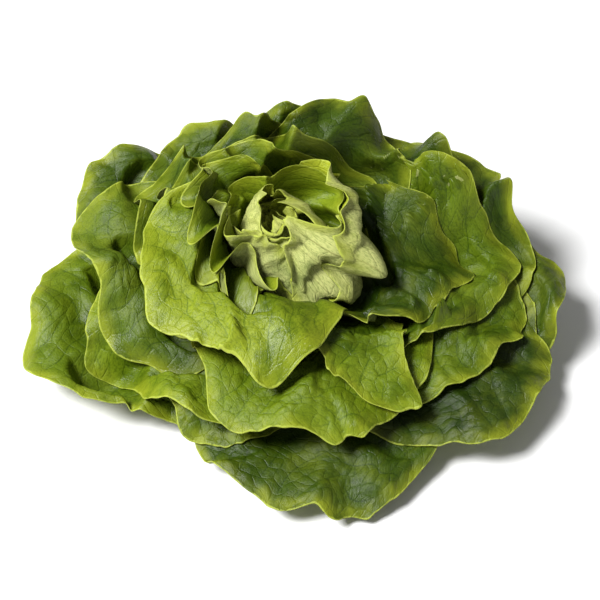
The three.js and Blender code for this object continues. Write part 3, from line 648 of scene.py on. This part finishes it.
def blade_points(n, chi, most, share, beyond=0):
    """Points on the upper side, the under side and half-way of leaf n, with what its material reads."""
    leaf = LEAVES[n]
    seed = n * SEED_STEP
    x, y = flat_place(leaf, chi, share * most + beyond)
    azimuth = leaf.azimuth * DEGREE + x / turn_radius(leaf, y)
    layer, per_mm = (on_lattice(values, azimuth, y) for values in stacked_layers()[n])
    inside = (1 - share) * most
    # The vein formulas suit a full-grown leaf, so a small leaf's flat millimetres are stretched for them.
    stretch = 2 * FULL_GROWN / (FULL_GROWN + leaf.length)
    side_vein = side_vein_distance(x * stretch, y * stretch, seed)
    network = network_distance(x * stretch, y * stretch, seed)
    grown = smooth(y / (SMOOTH_FOOT * leaf.length)) * smooth((inside - PUCKER_STARTS_AT) / PUCKER_FADES_OVER)
    quilt = QUILT * smooth(side_vein / HALF_PITCH)
    pucker = PUCKER * smooth(network / PUCKER_WIDTH) * smooth(side_vein / PUCKER_WIDTH)
    hollow = MIDRIB_HOLLOW * hump(x, 0, MIDRIB_HOLLOW_WIDTH) * (1 - smooth(y / leaf.length))
    crinkles = np.sin(CRINKLES * chi + CRINKLE_DRIFT * np.sin(CRINKLE_DRIFTS * chi + seed) + seed)
    crinkle = CRINKLE * np.exp(-inside / CRINKLE_WIDTH) * crinkles * smooth(y / FORM_GROWS_OVER)
    rise = ((quilt + pucker) * grown - hollow) / stretch + crinkle
    half = HALF_RIM + (HALF_BLADE - HALF_RIM) * smooth(inside / BLADE_THICKENS_OVER)
    half = half * thinning(y)
    veins = UNDER_VEIN * np.exp(-np.minimum(side_vein, network * FINER_VEINS) / UNDER_VEIN_WIDTH) * grown
    upper = point_at(azimuth, y, layer - (rise + half) * per_mm)
    under = point_at(azimuth, y, layer - (rise - half - veins - rib_height(leaf, x, y)) * per_mm)
    midway = point_at(azimuth, y, layer - rise * per_mm)
    flat = np.stack([x * stretch, y * stretch, np.full(x.shape, seed)], -1)
    along = np.clip(y / leaf.length, 0, 1)
    return {"upper": upper, "under": under, "midway": midway, "flat": flat, "inside": inside, "along": along}


def leaf_shell(n, cells, tile=(0, 0), tiles=1):
    """One leaf as a closed shell: its vertices and faces, and what its material reads."""
    share, chi, a, b = disc(cells)
    leaf = LEAVES[n]
    most = margin(leaf, chi, n * SEED_STEP)
    blade = blade_points(n, chi, most, share)
    edge = border(cells)
    chi, most = chi.ravel()[edge], most.ravel()[edge]
    rim = blade_points(n, chi, most, np.ones(len(edge)), RIM_BULGE)
    points = np.concatenate([blade["upper"].reshape(-1, 3), blade["under"].reshape(-1, 3), rim["midway"]])
    count = (cells + 1) ** 2
    k = (np.arange(cells)[:, None] * (cells + 1) + np.arange(cells)[None, :]).ravel()
    quads = np.stack([k + cells + 1, k + cells + 2, k + 1, k], 1)
    ahead = np.roll(edge, -1)
    ring = 2 * count + np.arange(len(edge))
    ring_ahead = np.roll(ring, -1)
    upper_rim = np.stack([ring_ahead, ring, edge, ahead], 1)
    under_rim = np.stack([ahead + count, edge + count, ring, ring_ahead], 1)

    def spread(name, rim_values):
        values = blade[name].reshape((count,) + blade[name].shape[2:])
        return np.concatenate([values, values, rim_values])

    square = np.stack([a.ravel(), b.ravel()], 1)
    return {
        "points": points * MM,
        "sides": (np.concatenate([quads, upper_rim]), np.concatenate([quads[:, ::-1] + count, under_rim])),
        "flat": spread("flat", rim["flat"]),
        "inside": spread("inside", np.zeros(len(edge))),
        "along": spread("along", rim["along"]),
        "age": np.full(len(points), leaf.tone),
        "map": np.concatenate([square, square, square[edge] * MAP_RIM]),
        "tile": (np.array(tile), tiles),
    }


def side_between(side, rows):
    """Radius and height at even steps of length up a side."""
    side = np.array(side, float)
    lengths = np.concatenate([[0], np.cumsum(np.hypot(*np.diff(side, axis=0).T))])
    at = np.linspace(0, lengths[-1], rows)
    return np.interp(at, lengths, side[:, 0]), np.interp(at, lengths, side[:, 1])


def scars(angle, height):
    """Ridges under the crescent scars that the outer leaves leave on the stem, in millimetres."""
    phase = height / SCAR_PITCH + SCARS_ROUND * angle / TURN + SCAR_SWING * np.sin(SCARS_ROUND * angle)
    return SCAR_RISE * (phase - np.floor(phase)) ** 2 * smooth(height / SCAR_PITCH)


def turned(radius, height, turns):
    """Points and faces of a closed solid of revolution; each row of the radius may differ round the axis."""
    angle = np.arange(turns) * TURN / turns
    rows = len(height)
    rounds = np.stack([radius * np.cos(angle), radius * np.sin(angle), height[:, None] + 0 * angle], -1)
    points = np.concatenate([rounds.reshape(-1, 3), [[0, 0, height[0]], [0, 0, height[-1]]]])
    round_once = [(i, (i + 1) % turns) for i in range(turns)]
    last, bottom, top = (rows - 1) * turns, rows * turns, rows * turns + 1
    faces = [[a + row, b + row, b + row + turns, a + row + turns]
             for row in range(0, last, turns) for a, b in round_once]
    faces += [[b, a, bottom] for a, b in round_once]
    faces += [[a + last, b + last, top] for a, b in round_once]
    return points, faces


def map_place(square, tile, tiles, side):
    """Place on the flat map: a tile for each part, its upper side on the left half, its under side right."""
    within = (square / MAP_EDGE + 1) / 2
    within = (within + [side, 0]) / [2, 1]
    return (within + tile) / tiles


def new_object(name, points, faces, materials):
    mesh = bpy.data.meshes.new(name)
    mesh.from_pydata(points.tolist(), [], faces)
    mesh.polygons.foreach_set("use_smooth", np.ones(len(faces), bool))
    for material in materials:
        mesh.materials.append(material)
    piece = bpy.data.objects.new(name, mesh)
    bpy.context.scene.collection.objects.link(piece)
    return piece


def leaf_object(name, parts, materials):
    """One object from closed leaves, with the attributes that its materials read and a flat map."""
    points, faces, face_sides, corner_maps = [], [], [], []
    start = 0
    for part in parts:
        tile, tiles = part["tile"]
        for side, quads in enumerate(part["sides"]):
            faces.append(quads + start)
            face_sides.append(np.full(len(quads), side))
            corner_maps.append(map_place(part["map"][quads.ravel()], tile, tiles, side))
        points.append(part["points"])
        start += len(part["points"])
    piece = new_object(name, np.concatenate(points), np.concatenate(faces).tolist(), materials)
    mesh = piece.data
    mesh.polygons.foreach_set("material_index", np.concatenate(face_sides).astype(np.int32))
    for label in POINT_VALUES:
        values = np.concatenate([part[label] for part in parts]).astype(np.float32)
        mesh.attributes.new(label, "FLOAT", "POINT").data.foreach_set("value", values)
    flat = np.concatenate([part["flat"] for part in parts]).astype(np.float32)
    mesh.attributes.new("flat", "FLOAT_VECTOR", "POINT").data.foreach_set("vector", flat.ravel())
    layer = mesh.uv_layers.new(name=MAP_NAME)
    layer.uv.foreach_set("vector", np.concatenate(corner_maps).astype(np.float32).ravel())
    mesh.update()
    return piece


def finish_piece(piece, node):
    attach(piece, "root")
    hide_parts(node)


def add_node(tree, kind, inputs=None, **settings):
    node = tree.nodes.new("ShaderNode" + kind)
    for setting, value in settings.items():
        setattr(node, setting, value)
    for slot, value in (inputs or {}).items():
        give(tree, node.inputs[slot], value)
    return node


def give(tree, slot, value):
    if isinstance(value, Nodes):
        tree.links.new(value.socket, slot)
    elif isinstance(value, bpy.types.NodeSocket):
        tree.links.new(value, slot)
    elif hasattr(value, "__len__") and len(value) == 3 and slot.type == "RGBA":
        slot.default_value = (*value, 1)
    else:
        slot.default_value = value


def ease(value, low, high, at_low, at_high):
    """A number that goes smoothly from at_low to at_high while value goes from low to high."""
    inputs = {"Value": value, "From Min": low, "From Max": high, "To Min": at_low, "To Max": at_high}
    node = add_node(value.tree, "MapRange", inputs, interpolation_type="SMOOTHSTEP")
    return Nodes(value.tree, node.outputs["Result"])


# Among the sockets of the mix node, those that it uses for colours.
MIX_INPUTS = (0, 6, 7)
MIX_OUTPUT = 2


def mixed(tree, share, first, second, blend_type="MIX"):
    inputs = dict(zip(MIX_INPUTS, (share, first, second)))
    return add_node(tree, "Mix", inputs, data_type="RGBA", blend_type=blend_type).outputs[MIX_OUTPUT]


def shaded(tree, share, colour, factor):
    """The colour, multiplied by the factor where share is one."""
    return mixed(tree, share, colour, mixed(tree, 1, colour, factor, "MULTIPLY"))


def ramp(tree, value, places, colours):
    """The colour at value, blended between the colours at their places."""
    node = add_node(tree, "ValToRGB", {"Fac": value})
    elements = node.color_ramp.elements
    while len(elements) < len(places):
        elements.new(1)
    for element, at, colour in zip(elements, places, colours):
        element.position = at
        element.color = (*colour, 1)
    return node.outputs["Color"]


def read(tree, name, output="Fac"):
    return Nodes(tree, add_node(tree, "Attribute", attribute_name=name).outputs[output])


def axes(tree, vector):
    return (Nodes(tree, slot) for slot in add_node(tree, "SeparateXYZ", {"Vector": vector}).outputs)


NOISE_ROUGHNESS = 0.55


def noise(tree, vector, scale, detail):
    inputs = {"Vector": vector, "Scale": scale, "Detail": detail, "Roughness": NOISE_ROUGHNESS}
    return Nodes(tree, add_node(tree, "TexNoise", inputs).outputs["Fac"])


def new_material(name):
    material = bpy.data.materials.new(name)
    material.use_nodes = True
    return material, material.node_tree, material.node_tree.nodes["Principled BSDF"]


def bump(tree, shader, height, strength, distance):
    inputs = {"Height": height, "Strength": strength, "Distance": distance}
    give(tree, shader.inputs["Normal"], add_node(tree, "Bump", inputs).outputs["Normal"])


# Noises as scale and detail: patches by metres of the head, the others by flat millimetres of a blade.
PATCHES = (38, 4)
BANDS = (0.09, 3)
BLISTERS = (0.32, 2)
GRAIN = (1.3, 3)
PORES = (3.1, 2)

# Ages at which a side has each of its greens.
UPPER_AGES = (0, 0.3, 0.52, 0.75, 1)
UNDER_AGES = (0, 0.3, 0.7)

# Where a colour comes in and how much of it, as from, to, share at from and share at to. The first three
# follow the share of the leaf's length from its foot, then millimetres from the rim, noises and veins.
PALE_FOOT = (0.24, 0, 0, 0.6)
UNDER_PALE_FOOT = (0.5, 0.05, 0, 0.75)
# Painted shade: the upper side darkens towards its foot and away from the rim, where it lies deep in the head
# under the leaves outside it.
PAINTED_SHADE_TO_FOOT = (0.74, 0.38, 0, 0.85)
PAINTED_SHADE_FROM_RIM = (10, 38, 0, 0.4)
LIGHT_PATCHES = (0.5, 0.72, 0, 0.32)
DARK_PATCHES = (0.5, 0.32, 0, 0.75)
LIGHT_BANDS = (0.45, 0.7, 0, 0.2)
DARK_BLISTERS = (0.5, 0.3, 0, 0.3)
DARK_GRAIN = (0.52, 0.38, 0, 0.5)
FINE_VEINS = (0.05, 0.42, 0.5, 0)
MAIN_VEINS = (0.1, 0.6, 0.75, 0)
VEINS_FROM_RIM = (0.5, 9, 0.1, 1)
BRIGHT_RIM = (9, 0, 0, 1)
BRIGHT_BANDS = (0.32, 0.68, 0.12, 0.65)
RIM_LINE = (0.55, 0, 0, 0.6)
LIGHTNESS = 0.5
FRAYING = 2

# The finish of the leaves: which patches are smoother and rougher, and by how much, and the bumps.
ROUGH_PATCHES = (0.35, 0.65)
SMOOTHER_BY = 0.06
ROUGHER_BY = 0.12
SHEEN_LEVEL = 0.28
UNDER_SHEEN_LEVEL = 0.17
BUMP_STRENGTH = 0.65
BUMP_DISTANCE = 0.0008
BUMP_VEIN_EDGE = (0, 1, 0, 0.3)
BUMP_SHARES = (0.9, 0.55, 0.25)

# The cut stem: noises for each metre, the pale ring by millimetres, and the browning by height in metres.
FIBRES = (420, 4)
STAINS = (130, 3)
RING_RADIUS = 7.5
RING_FADES = (0.3, 1.4, 0.8, 0)
BROWN_CUT = (0.0025, 0.0004, 0, 0.85)
STEM_ROUGHNESS = (0.3, 0.7, 0.45, 0.7)
FIBRE_BUMP_STRENGTH = 0.6
FIBRE_BUMP_DISTANCE = 0.0006
FLOOR_ROUGHNESS = 0.8


def leaf_patterns(tree):
    """What a leaf's skin follows: values that the mesh holds, distances from the veins, and noises."""
    flat = read(tree, "flat", "Vector")
    x, y, seed = axes(tree, flat)
    where = add_node(tree, "TexCoord").outputs["Object"]
    noises = {"bands": BANDS, "blisters": BLISTERS, "grain": GRAIN, "pores": PORES}
    return SimpleNamespace(
        side_vein=side_vein_distance(x, y, seed),
        network=network_distance(x, y, seed),
        patches=noise(tree, where, *PATCHES),
        **{name: read(tree, name) for name in POINT_VALUES},
        **{name: noise(tree, flat, *form) for name, form in noises.items()},
    )


def leaf_colour(tree, style, under, on):
    """Greens by age, pale at the foot, with painted shade deep in the head, mottled, veined with painted
    shade in the upper side's vein grooves, and brighter in a frayed band along the rim.
    """
    if under:
        green = ramp(tree, on.age, UNDER_AGES, (style.heart, style.under_inner, style.under))
    else:
        greens = (style.heart, style.inner, style.middle, style.outer, style.oldest)
        green = ramp(tree, on.age, UPPER_AGES, greens)
    pale = ease(on.along, *(UNDER_PALE_FOOT if under else PALE_FOOT))
    colour = mixed(tree, pale, green, style.foot)
    # Painted shade on the upper side: darker towards the foot and away from the rim, deep between the leaves.
    if not under:
        colour = shaded(tree, ease(on.along, *PAINTED_SHADE_TO_FOOT), colour, style.dark)
        colour = shaded(tree, ease(on.inside, *PAINTED_SHADE_FROM_RIM), colour, style.dark)
    light = mixed(tree, LIGHTNESS, colour, style.rim)
    colour = mixed(tree, ease(on.patches, *LIGHT_PATCHES), colour, light)
    colour = shaded(tree, ease(on.patches, *DARK_PATCHES), colour, style.dark)
    colour = mixed(tree, ease(on.bands, *LIGHT_BANDS), colour, light)
    colour = shaded(tree, ease(on.blisters, *DARK_BLISTERS), colour, style.dark)
    colour = shaded(tree, ease(on.grain, *DARK_GRAIN), colour, style.dark)
    # The veins darken the colour. On the under side that is their own colour. On the upper side it is partly
    # their colour and partly painted shade in their grooves.
    veins = greatest(ease(on.network, *FINE_VEINS), ease(on.side_vein, *MAIN_VEINS))
    veins = veins * ease(on.inside, *VEINS_FROM_RIM)
    colour = shaded(tree, veins, colour, style.vein_under if under else style.vein_and_groove_shade)
    frayed = on.inside + FRAYING * (on.blisters - 0.5)
    bright = ease(on.bands, *BRIGHT_BANDS) * ease(frayed, *BRIGHT_RIM)
    colour = mixed(tree, bright, colour, style.rim)
    return mixed(tree, ease(frayed, *RIM_LINE), colour, style.rim_line)


def leaf_material(name, style, under):
    """The skin of a leaf: its colour, a fine grain of bumps, and the light that comes through it."""
    material, tree, shader = new_material(name)
    on = leaf_patterns(tree)
    colour = leaf_colour(tree, style, under, on)
    give(tree, shader.inputs["Base Color"], colour)
    rough = style.under_roughness if under else style.roughness
    rough = ease(on.patches, *ROUGH_PATCHES, rough - SMOOTHER_BY, rough + ROUGHER_BY)
    give(tree, shader.inputs["Roughness"], rough)
    shader.inputs["Specular IOR Level"].default_value = UNDER_SHEEN_LEVEL if under else SHEEN_LEVEL
    height = ease(on.network, *BUMP_VEIN_EDGE)
    for pattern, share in zip((on.blisters, on.grain, on.pores), BUMP_SHARES):
        height = height + pattern * share
    bump(tree, shader, height, BUMP_STRENGTH, BUMP_DISTANCE)
    lit = mixed(tree, LIGHTNESS, colour, style.rim)
    through = add_node(tree, "BsdfTranslucent", {"Color": lit}).outputs[0]
    both = add_node(tree, "MixShader", {0: style.translucency, 1: shader.outputs[0], 2: through}).outputs[0]
    give(tree, tree.nodes["Material Output"].inputs["Surface"], both)
    return material


def stem_material(style):
    """The cut stem: milky flesh in fibres, which browns on the cut face with a paler ring inside it."""
    material, tree, shader = new_material("cut stem")
    where = add_node(tree, "TexCoord").outputs["Object"]
    fibres = noise(tree, where, *FIBRES)
    stains = noise(tree, where, *STAINS)
    x, y, height = axes(tree, where)
    out = root(x * x + y * y) / MM
    ring = ease(size_of(out - RING_RADIUS), *RING_FADES)
    flesh = mixed(tree, fibres, style.stem, style.stem_shade)
    brown = mixed(tree, ring, mixed(tree, stains, style.cut, style.cut_dark), style.stem_shade)
    give(tree, shader.inputs["Base Color"], mixed(tree, ease(height, *BROWN_CUT), flesh, brown))
    give(tree, shader.inputs["Roughness"], ease(stains, *STEM_ROUGHNESS))
    bump(tree, shader, fibres, FIBRE_BUMP_STRENGTH, FIBRE_BUMP_DISTANCE)
    return material


def floor_material(colour):
    material, _, shader = new_material("floor")
    shader.inputs["Base Color"].default_value = (*colour, 1)
    shader.inputs["Roughness"].default_value = FLOOR_ROUGHNESS
    return material


def colour_property(name, description, default):
    return bpy.props.FloatVectorProperty(
        name=name, description=description, default=default, subtype="COLOR", size=3, min=0, max=1
    )


def number_property(name, description, default, **form):
    return bpy.props.FloatProperty(name=name, description=description, default=default, **form)


def share_property(name, description, default):
    return number_property(name, description, default, min=0, max=1, subtype="FACTOR")


def cells_property(name, default):
    return bpy.props.IntProperty(name=name, description="Squares across a leaf", default=default, min=8)


class LettuceStyle(bpy.types.PropertyGroup):
    """Greens and finish of the head, from the heart out."""

    heart: colour_property("Heart", "Blade of the heart's leaves", (0.74, 0.77, 0.2))
    inner: colour_property("Inner", "Blade of the inner leaves", (0.45, 0.51, 0.03))
    middle: colour_property("Middle", "Blade of the middle leaves", (0.175, 0.25, 0.008))
    outer: colour_property("Outer", "Blade of the outer leaves", (0.062, 0.11, 0.004))
    oldest: colour_property("Oldest", "Blade of the outermost leaves", (0.03, 0.058, 0.004))
    under_inner: colour_property("Inner under side", "Under side of the inner leaves", (0.57, 0.6, 0.21))
    under: colour_property("Outer under side", "Under side of the outer leaves", (0.3, 0.34, 0.12))
    foot: colour_property("Foot", "Pale lower part of a leaf", (0.44, 0.52, 0.19))
    rim: colour_property("Rim", "Yellow green towards the margin", (0.34, 0.39, 0.02))
    rim_line: colour_property("Rim line", "The margin itself", (0.5, 0.58, 0.08))
    # This multiplies in the painted shade deep in the head, as well as the darker patches of the blade's own
    # colour.
    dark: colour_property("Shade", "What the darker patches are multiplied by", (0.36, 0.46, 0.3))
    # Partly painted shade: the upper side's veins are darkened for the shade in their grooves as well as for
    # their colour.
    vein_and_groove_shade: colour_property("Veins", "What the veins of the upper side are multiplied by", (0.45, 0.55, 0.4))
    vein_under: colour_property("Under veins", "The same for the under side", (0.5, 0.48, 0.4))
    stem: colour_property("Stem", "Flesh of the stem", (0.62, 0.64, 0.38))
    stem_shade: colour_property("Stem shade", "Darker fibres of the stem", (0.42, 0.46, 0.2))
    cut: colour_property("Cut face", "Browned cut of the stem", (0.36, 0.2, 0.09))
    cut_dark: colour_property("Cut stains", "Darkest stains on the cut", (0.16, 0.07, 0.03))
    roughness: share_property("Roughness", "Of the upper side", 0.36)
    under_roughness: share_property("Under roughness", "Of the under side", 0.58)
    translucency: share_property("Translucency", "Light let through", 0.13)


class LettuceStudio(bpy.types.PropertyGroup):
    """The view and the light."""

    distance: number_property("Distance", "Camera to the head", 0.74, min=0.1, unit="LENGTH")
    elevation: number_property("Elevation", "Camera above level", 47 * DEGREE, subtype="ANGLE")
    aim_height: number_property("Aim height", "Camera's target above the floor", 0.038, unit="LENGTH")
    lens: number_property("Lens", "Focal length", 85, min=10, unit="CAMERA")
    sky: number_property("Sky", "Light from all round", 0.21, min=0)
    key: number_property("Key", "Soft lamp's power", 88, min=0, unit="POWER")
    key_size: number_property("Key size", "Side of the soft lamp", 0.7, min=0.01, unit="LENGTH")
    key_place: bpy.props.FloatVectorProperty(
        name="Key place", description="Of the soft lamp", default=(-1.15, -0.55, 1.85), unit="LENGTH"
    )
    floor: colour_property("Floor", "Colour of the floor", (0.9, 0.9, 0.9))
    floor_side: number_property("Floor side", "Side of the square floor", 4, min=1, unit="LENGTH")


class LettuceBuild(bpy.types.PropertyGroup):
    """How finely the leaves are made: squares across a blade."""

    heart_cells: cells_property("Heart", 42)
    inner_cells: cells_property("Inner", 64)
    middle_cells: cells_property("Middle", 80)
    outer_cells: cells_property("Outer", 94)


def skins(style):
    """The two leaf materials, made once."""
    made = bpy.data.materials
    upper = made.get("leaf upper side") or leaf_material("leaf upper side", style, False)
    under = made.get("leaf under side") or leaf_material("leaf under side", style, True)
    return upper, under


def grow_leaves(context, start, cells):
    """One object for each leaf whose name starts like this."""
    grown = [n for n, leaf in enumerate(LEAVES) if leaf.name.startswith(start)]
    if not grown:
        raise RuntimeError(f"no leaf is named {start}")
    materials = skins(context.scene.lettuce_style)
    for n in grown:
        piece = leaf_object(LEAVES[n].name + "_blade", [leaf_shell(n, cells)], materials)
        finish_piece(piece, LEAVES[n].name)
    return {"FINISHED"}


def face_from(thing, target, back, distance):
    """Stands a thing at a distance from the target and turns it to look there."""
    thing.location = target + back * distance
    thing.rotation_euler = (-back).to_track_quat("-Z", "Y").to_euler()


class LETTUCE_OT_studio(bpy.types.Operator):
    """Sets up the camera, the soft light and the pale floor"""

    bl_idname = "lettuce.studio"
    bl_label = "Studio"

    def execute(self, context):
        studio = context.scene.lettuce_studio
        target = Vector((0, 0, studio.aim_height))
        camera = bpy.data.objects.new("camera", bpy.data.cameras.new("camera"))
        camera.data.lens = studio.lens
        context.scene.collection.objects.link(camera)
        back = Vector((0, -math.cos(studio.elevation), math.sin(studio.elevation)))
        face_from(camera, target, back, studio.distance)
        context.scene.camera = camera
        lamp = bpy.data.objects.new("key", bpy.data.lights.new("key", "AREA"))
        lamp.data.energy = studio.key
        lamp.data.size = studio.key_size
        context.scene.collection.objects.link(lamp)
        towards = Vector(studio.key_place)
        face_from(lamp, target, towards.normalized(), towards.length)
        world = bpy.data.worlds.new("sky")
        world.use_nodes = True
        world.node_tree.nodes["Background"].inputs["Color"].default_value = (1, 1, 1, 1)
        world.node_tree.nodes["Background"].inputs["Strength"].default_value = studio.sky
        context.scene.world = world
        context.scene.view_settings.view_transform = "Standard"
        half = studio.floor_side / 2
        corners = np.array([(-half, -half, 0), (half, -half, 0), (half, half, 0), (-half, half, 0)])
        floor = new_object("floor", corners, [[0, 1, 2, 3]], [floor_material(studio.floor)])
        return {"FINISHED"}


class LETTUCE_OT_stem(bpy.types.Operator):
    """Turns the cut stem, with the scars of the leaves that came off"""

    bl_idname = "lettuce.stem"
    bl_label = "Stem"

    def execute(self, context):
        radius, height = side_between((*STEM_SIDE, (0, STEM_TOP)), STEM_ROWS)
        angle = np.arange(STEM_TURNS) * TURN / STEM_TURNS
        radius = radius[:, None] + scars(angle, height[:, None]) * smooth(radius[:, None])
        points, faces = turned(radius, height, STEM_TURNS)
        piece = new_object("stem_flesh", points * MM, faces, [stem_material(context.scene.lettuce_style)])
        finish_piece(piece, "stem")
        return {"FINISHED"}


class LETTUCE_OT_heart(bpy.types.Operator):
    """Grows the heart: its small leaves in one piece, and the core that they grow from"""

    bl_idname = "lettuce.heart"
    bl_label = "Heart"

    def execute(self, context):
        cells = context.scene.lettuce_build.heart_cells
        tiles = [(n % HEART_TILES, n // HEART_TILES) for n in range(HEART_LEAVES)]
        parts = [leaf_shell(n, cells, tile, HEART_TILES) for n, tile in enumerate(tiles)]
        piece = leaf_object("heart_leaves", parts, skins(context.scene.lettuce_style))
        finish_piece(piece, "heart")
        radius, height = side_between(((0, CORE_FLOOR), *CORE_SIDE, (0, CORE_TOP)), CORE_ROWS)
        points, faces = turned(radius[:, None], height, CORE_TURNS)
        core = new_object("heart_core", bend(points) * MM, faces, [skins(context.scene.lettuce_style)[1]])
        finish_piece(core, "heart")
        return {"FINISHED"}


class LETTUCE_OT_inner_leaves(bpy.types.Operator):
    """Grows the inner leaves, which close round the heart"""

    bl_idname = "lettuce.inner_leaves"
    bl_label = "Inner Leaves"

    def execute(self, context):
        return grow_leaves(context, "inner_leaf", context.scene.lettuce_build.inner_cells)


class LETTUCE_OT_middle_leaves(bpy.types.Operator):
    """Grows the middle leaves"""

    bl_idname = "lettuce.middle_leaves"
    bl_label = "Middle Leaves"

    def execute(self, context):
        return grow_leaves(context, "middle_leaf", context.scene.lettuce_build.middle_cells)


class LETTUCE_OT_outer_leaves(bpy.types.Operator):
    """Grows the outer leaves, which lie out over the floor"""

    bl_idname = "lettuce.outer_leaves"
    bl_label = "Outer Leaves"

    def execute(self, context):
        return grow_leaves(context, "outer_leaf", context.scene.lettuce_build.outer_cells)


OPERATORS = (
    LETTUCE_OT_studio,
    LETTUCE_OT_stem,
    LETTUCE_OT_heart,
    LETTUCE_OT_inner_leaves,
    LETTUCE_OT_middle_leaves,
    LETTUCE_OT_outer_leaves,
)
GROUPS = {"lettuce_style": LettuceStyle, "lettuce_studio": LettuceStudio, "lettuce_build": LettuceBuild}


class LETTUCE_PT_head(bpy.types.Panel):
    """Colours, view, fineness and the steps, in the sidebar"""

    bl_idname = "LETTUCE_PT_head"
    bl_label = "Butterhead Lettuce"
    bl_space_type = "VIEW_3D"
    bl_region_type = "UI"
    bl_category = "Lettuce"

    def draw(self, context):
        for name, group in GROUPS.items():
            box = self.layout.box()
            for label in group.__annotations__:
                box.prop(getattr(context.scene, name), label)
        for operator in OPERATORS:
            self.layout.operator(operator.bl_idname)


def register():
    for cls in (*GROUPS.values(), *OPERATORS, LETTUCE_PT_head):
        bpy.utils.register_class(cls)
    for name, group in GROUPS.items():
        setattr(bpy.types.Scene, name, bpy.props.PointerProperty(type=group))


def unregister():
    for name in GROUPS:
        delattr(bpy.types.Scene, name)
    for cls in (LETTUCE_PT_head, *reversed(OPERATORS), *reversed(GROUPS.values())):
        bpy.utils.unregister_class(cls)


def main():
    register()
    bpy.ops.lettuce.studio()
    bpy.ops.lettuce.stem()
    bpy.ops.lettuce.heart()
    bpy.ops.lettuce.inner_leaves()
    bpy.ops.lettuce.middle_leaves()
    bpy.ops.lettuce.outer_leaves()


if __name__ == "__main__":
    main()
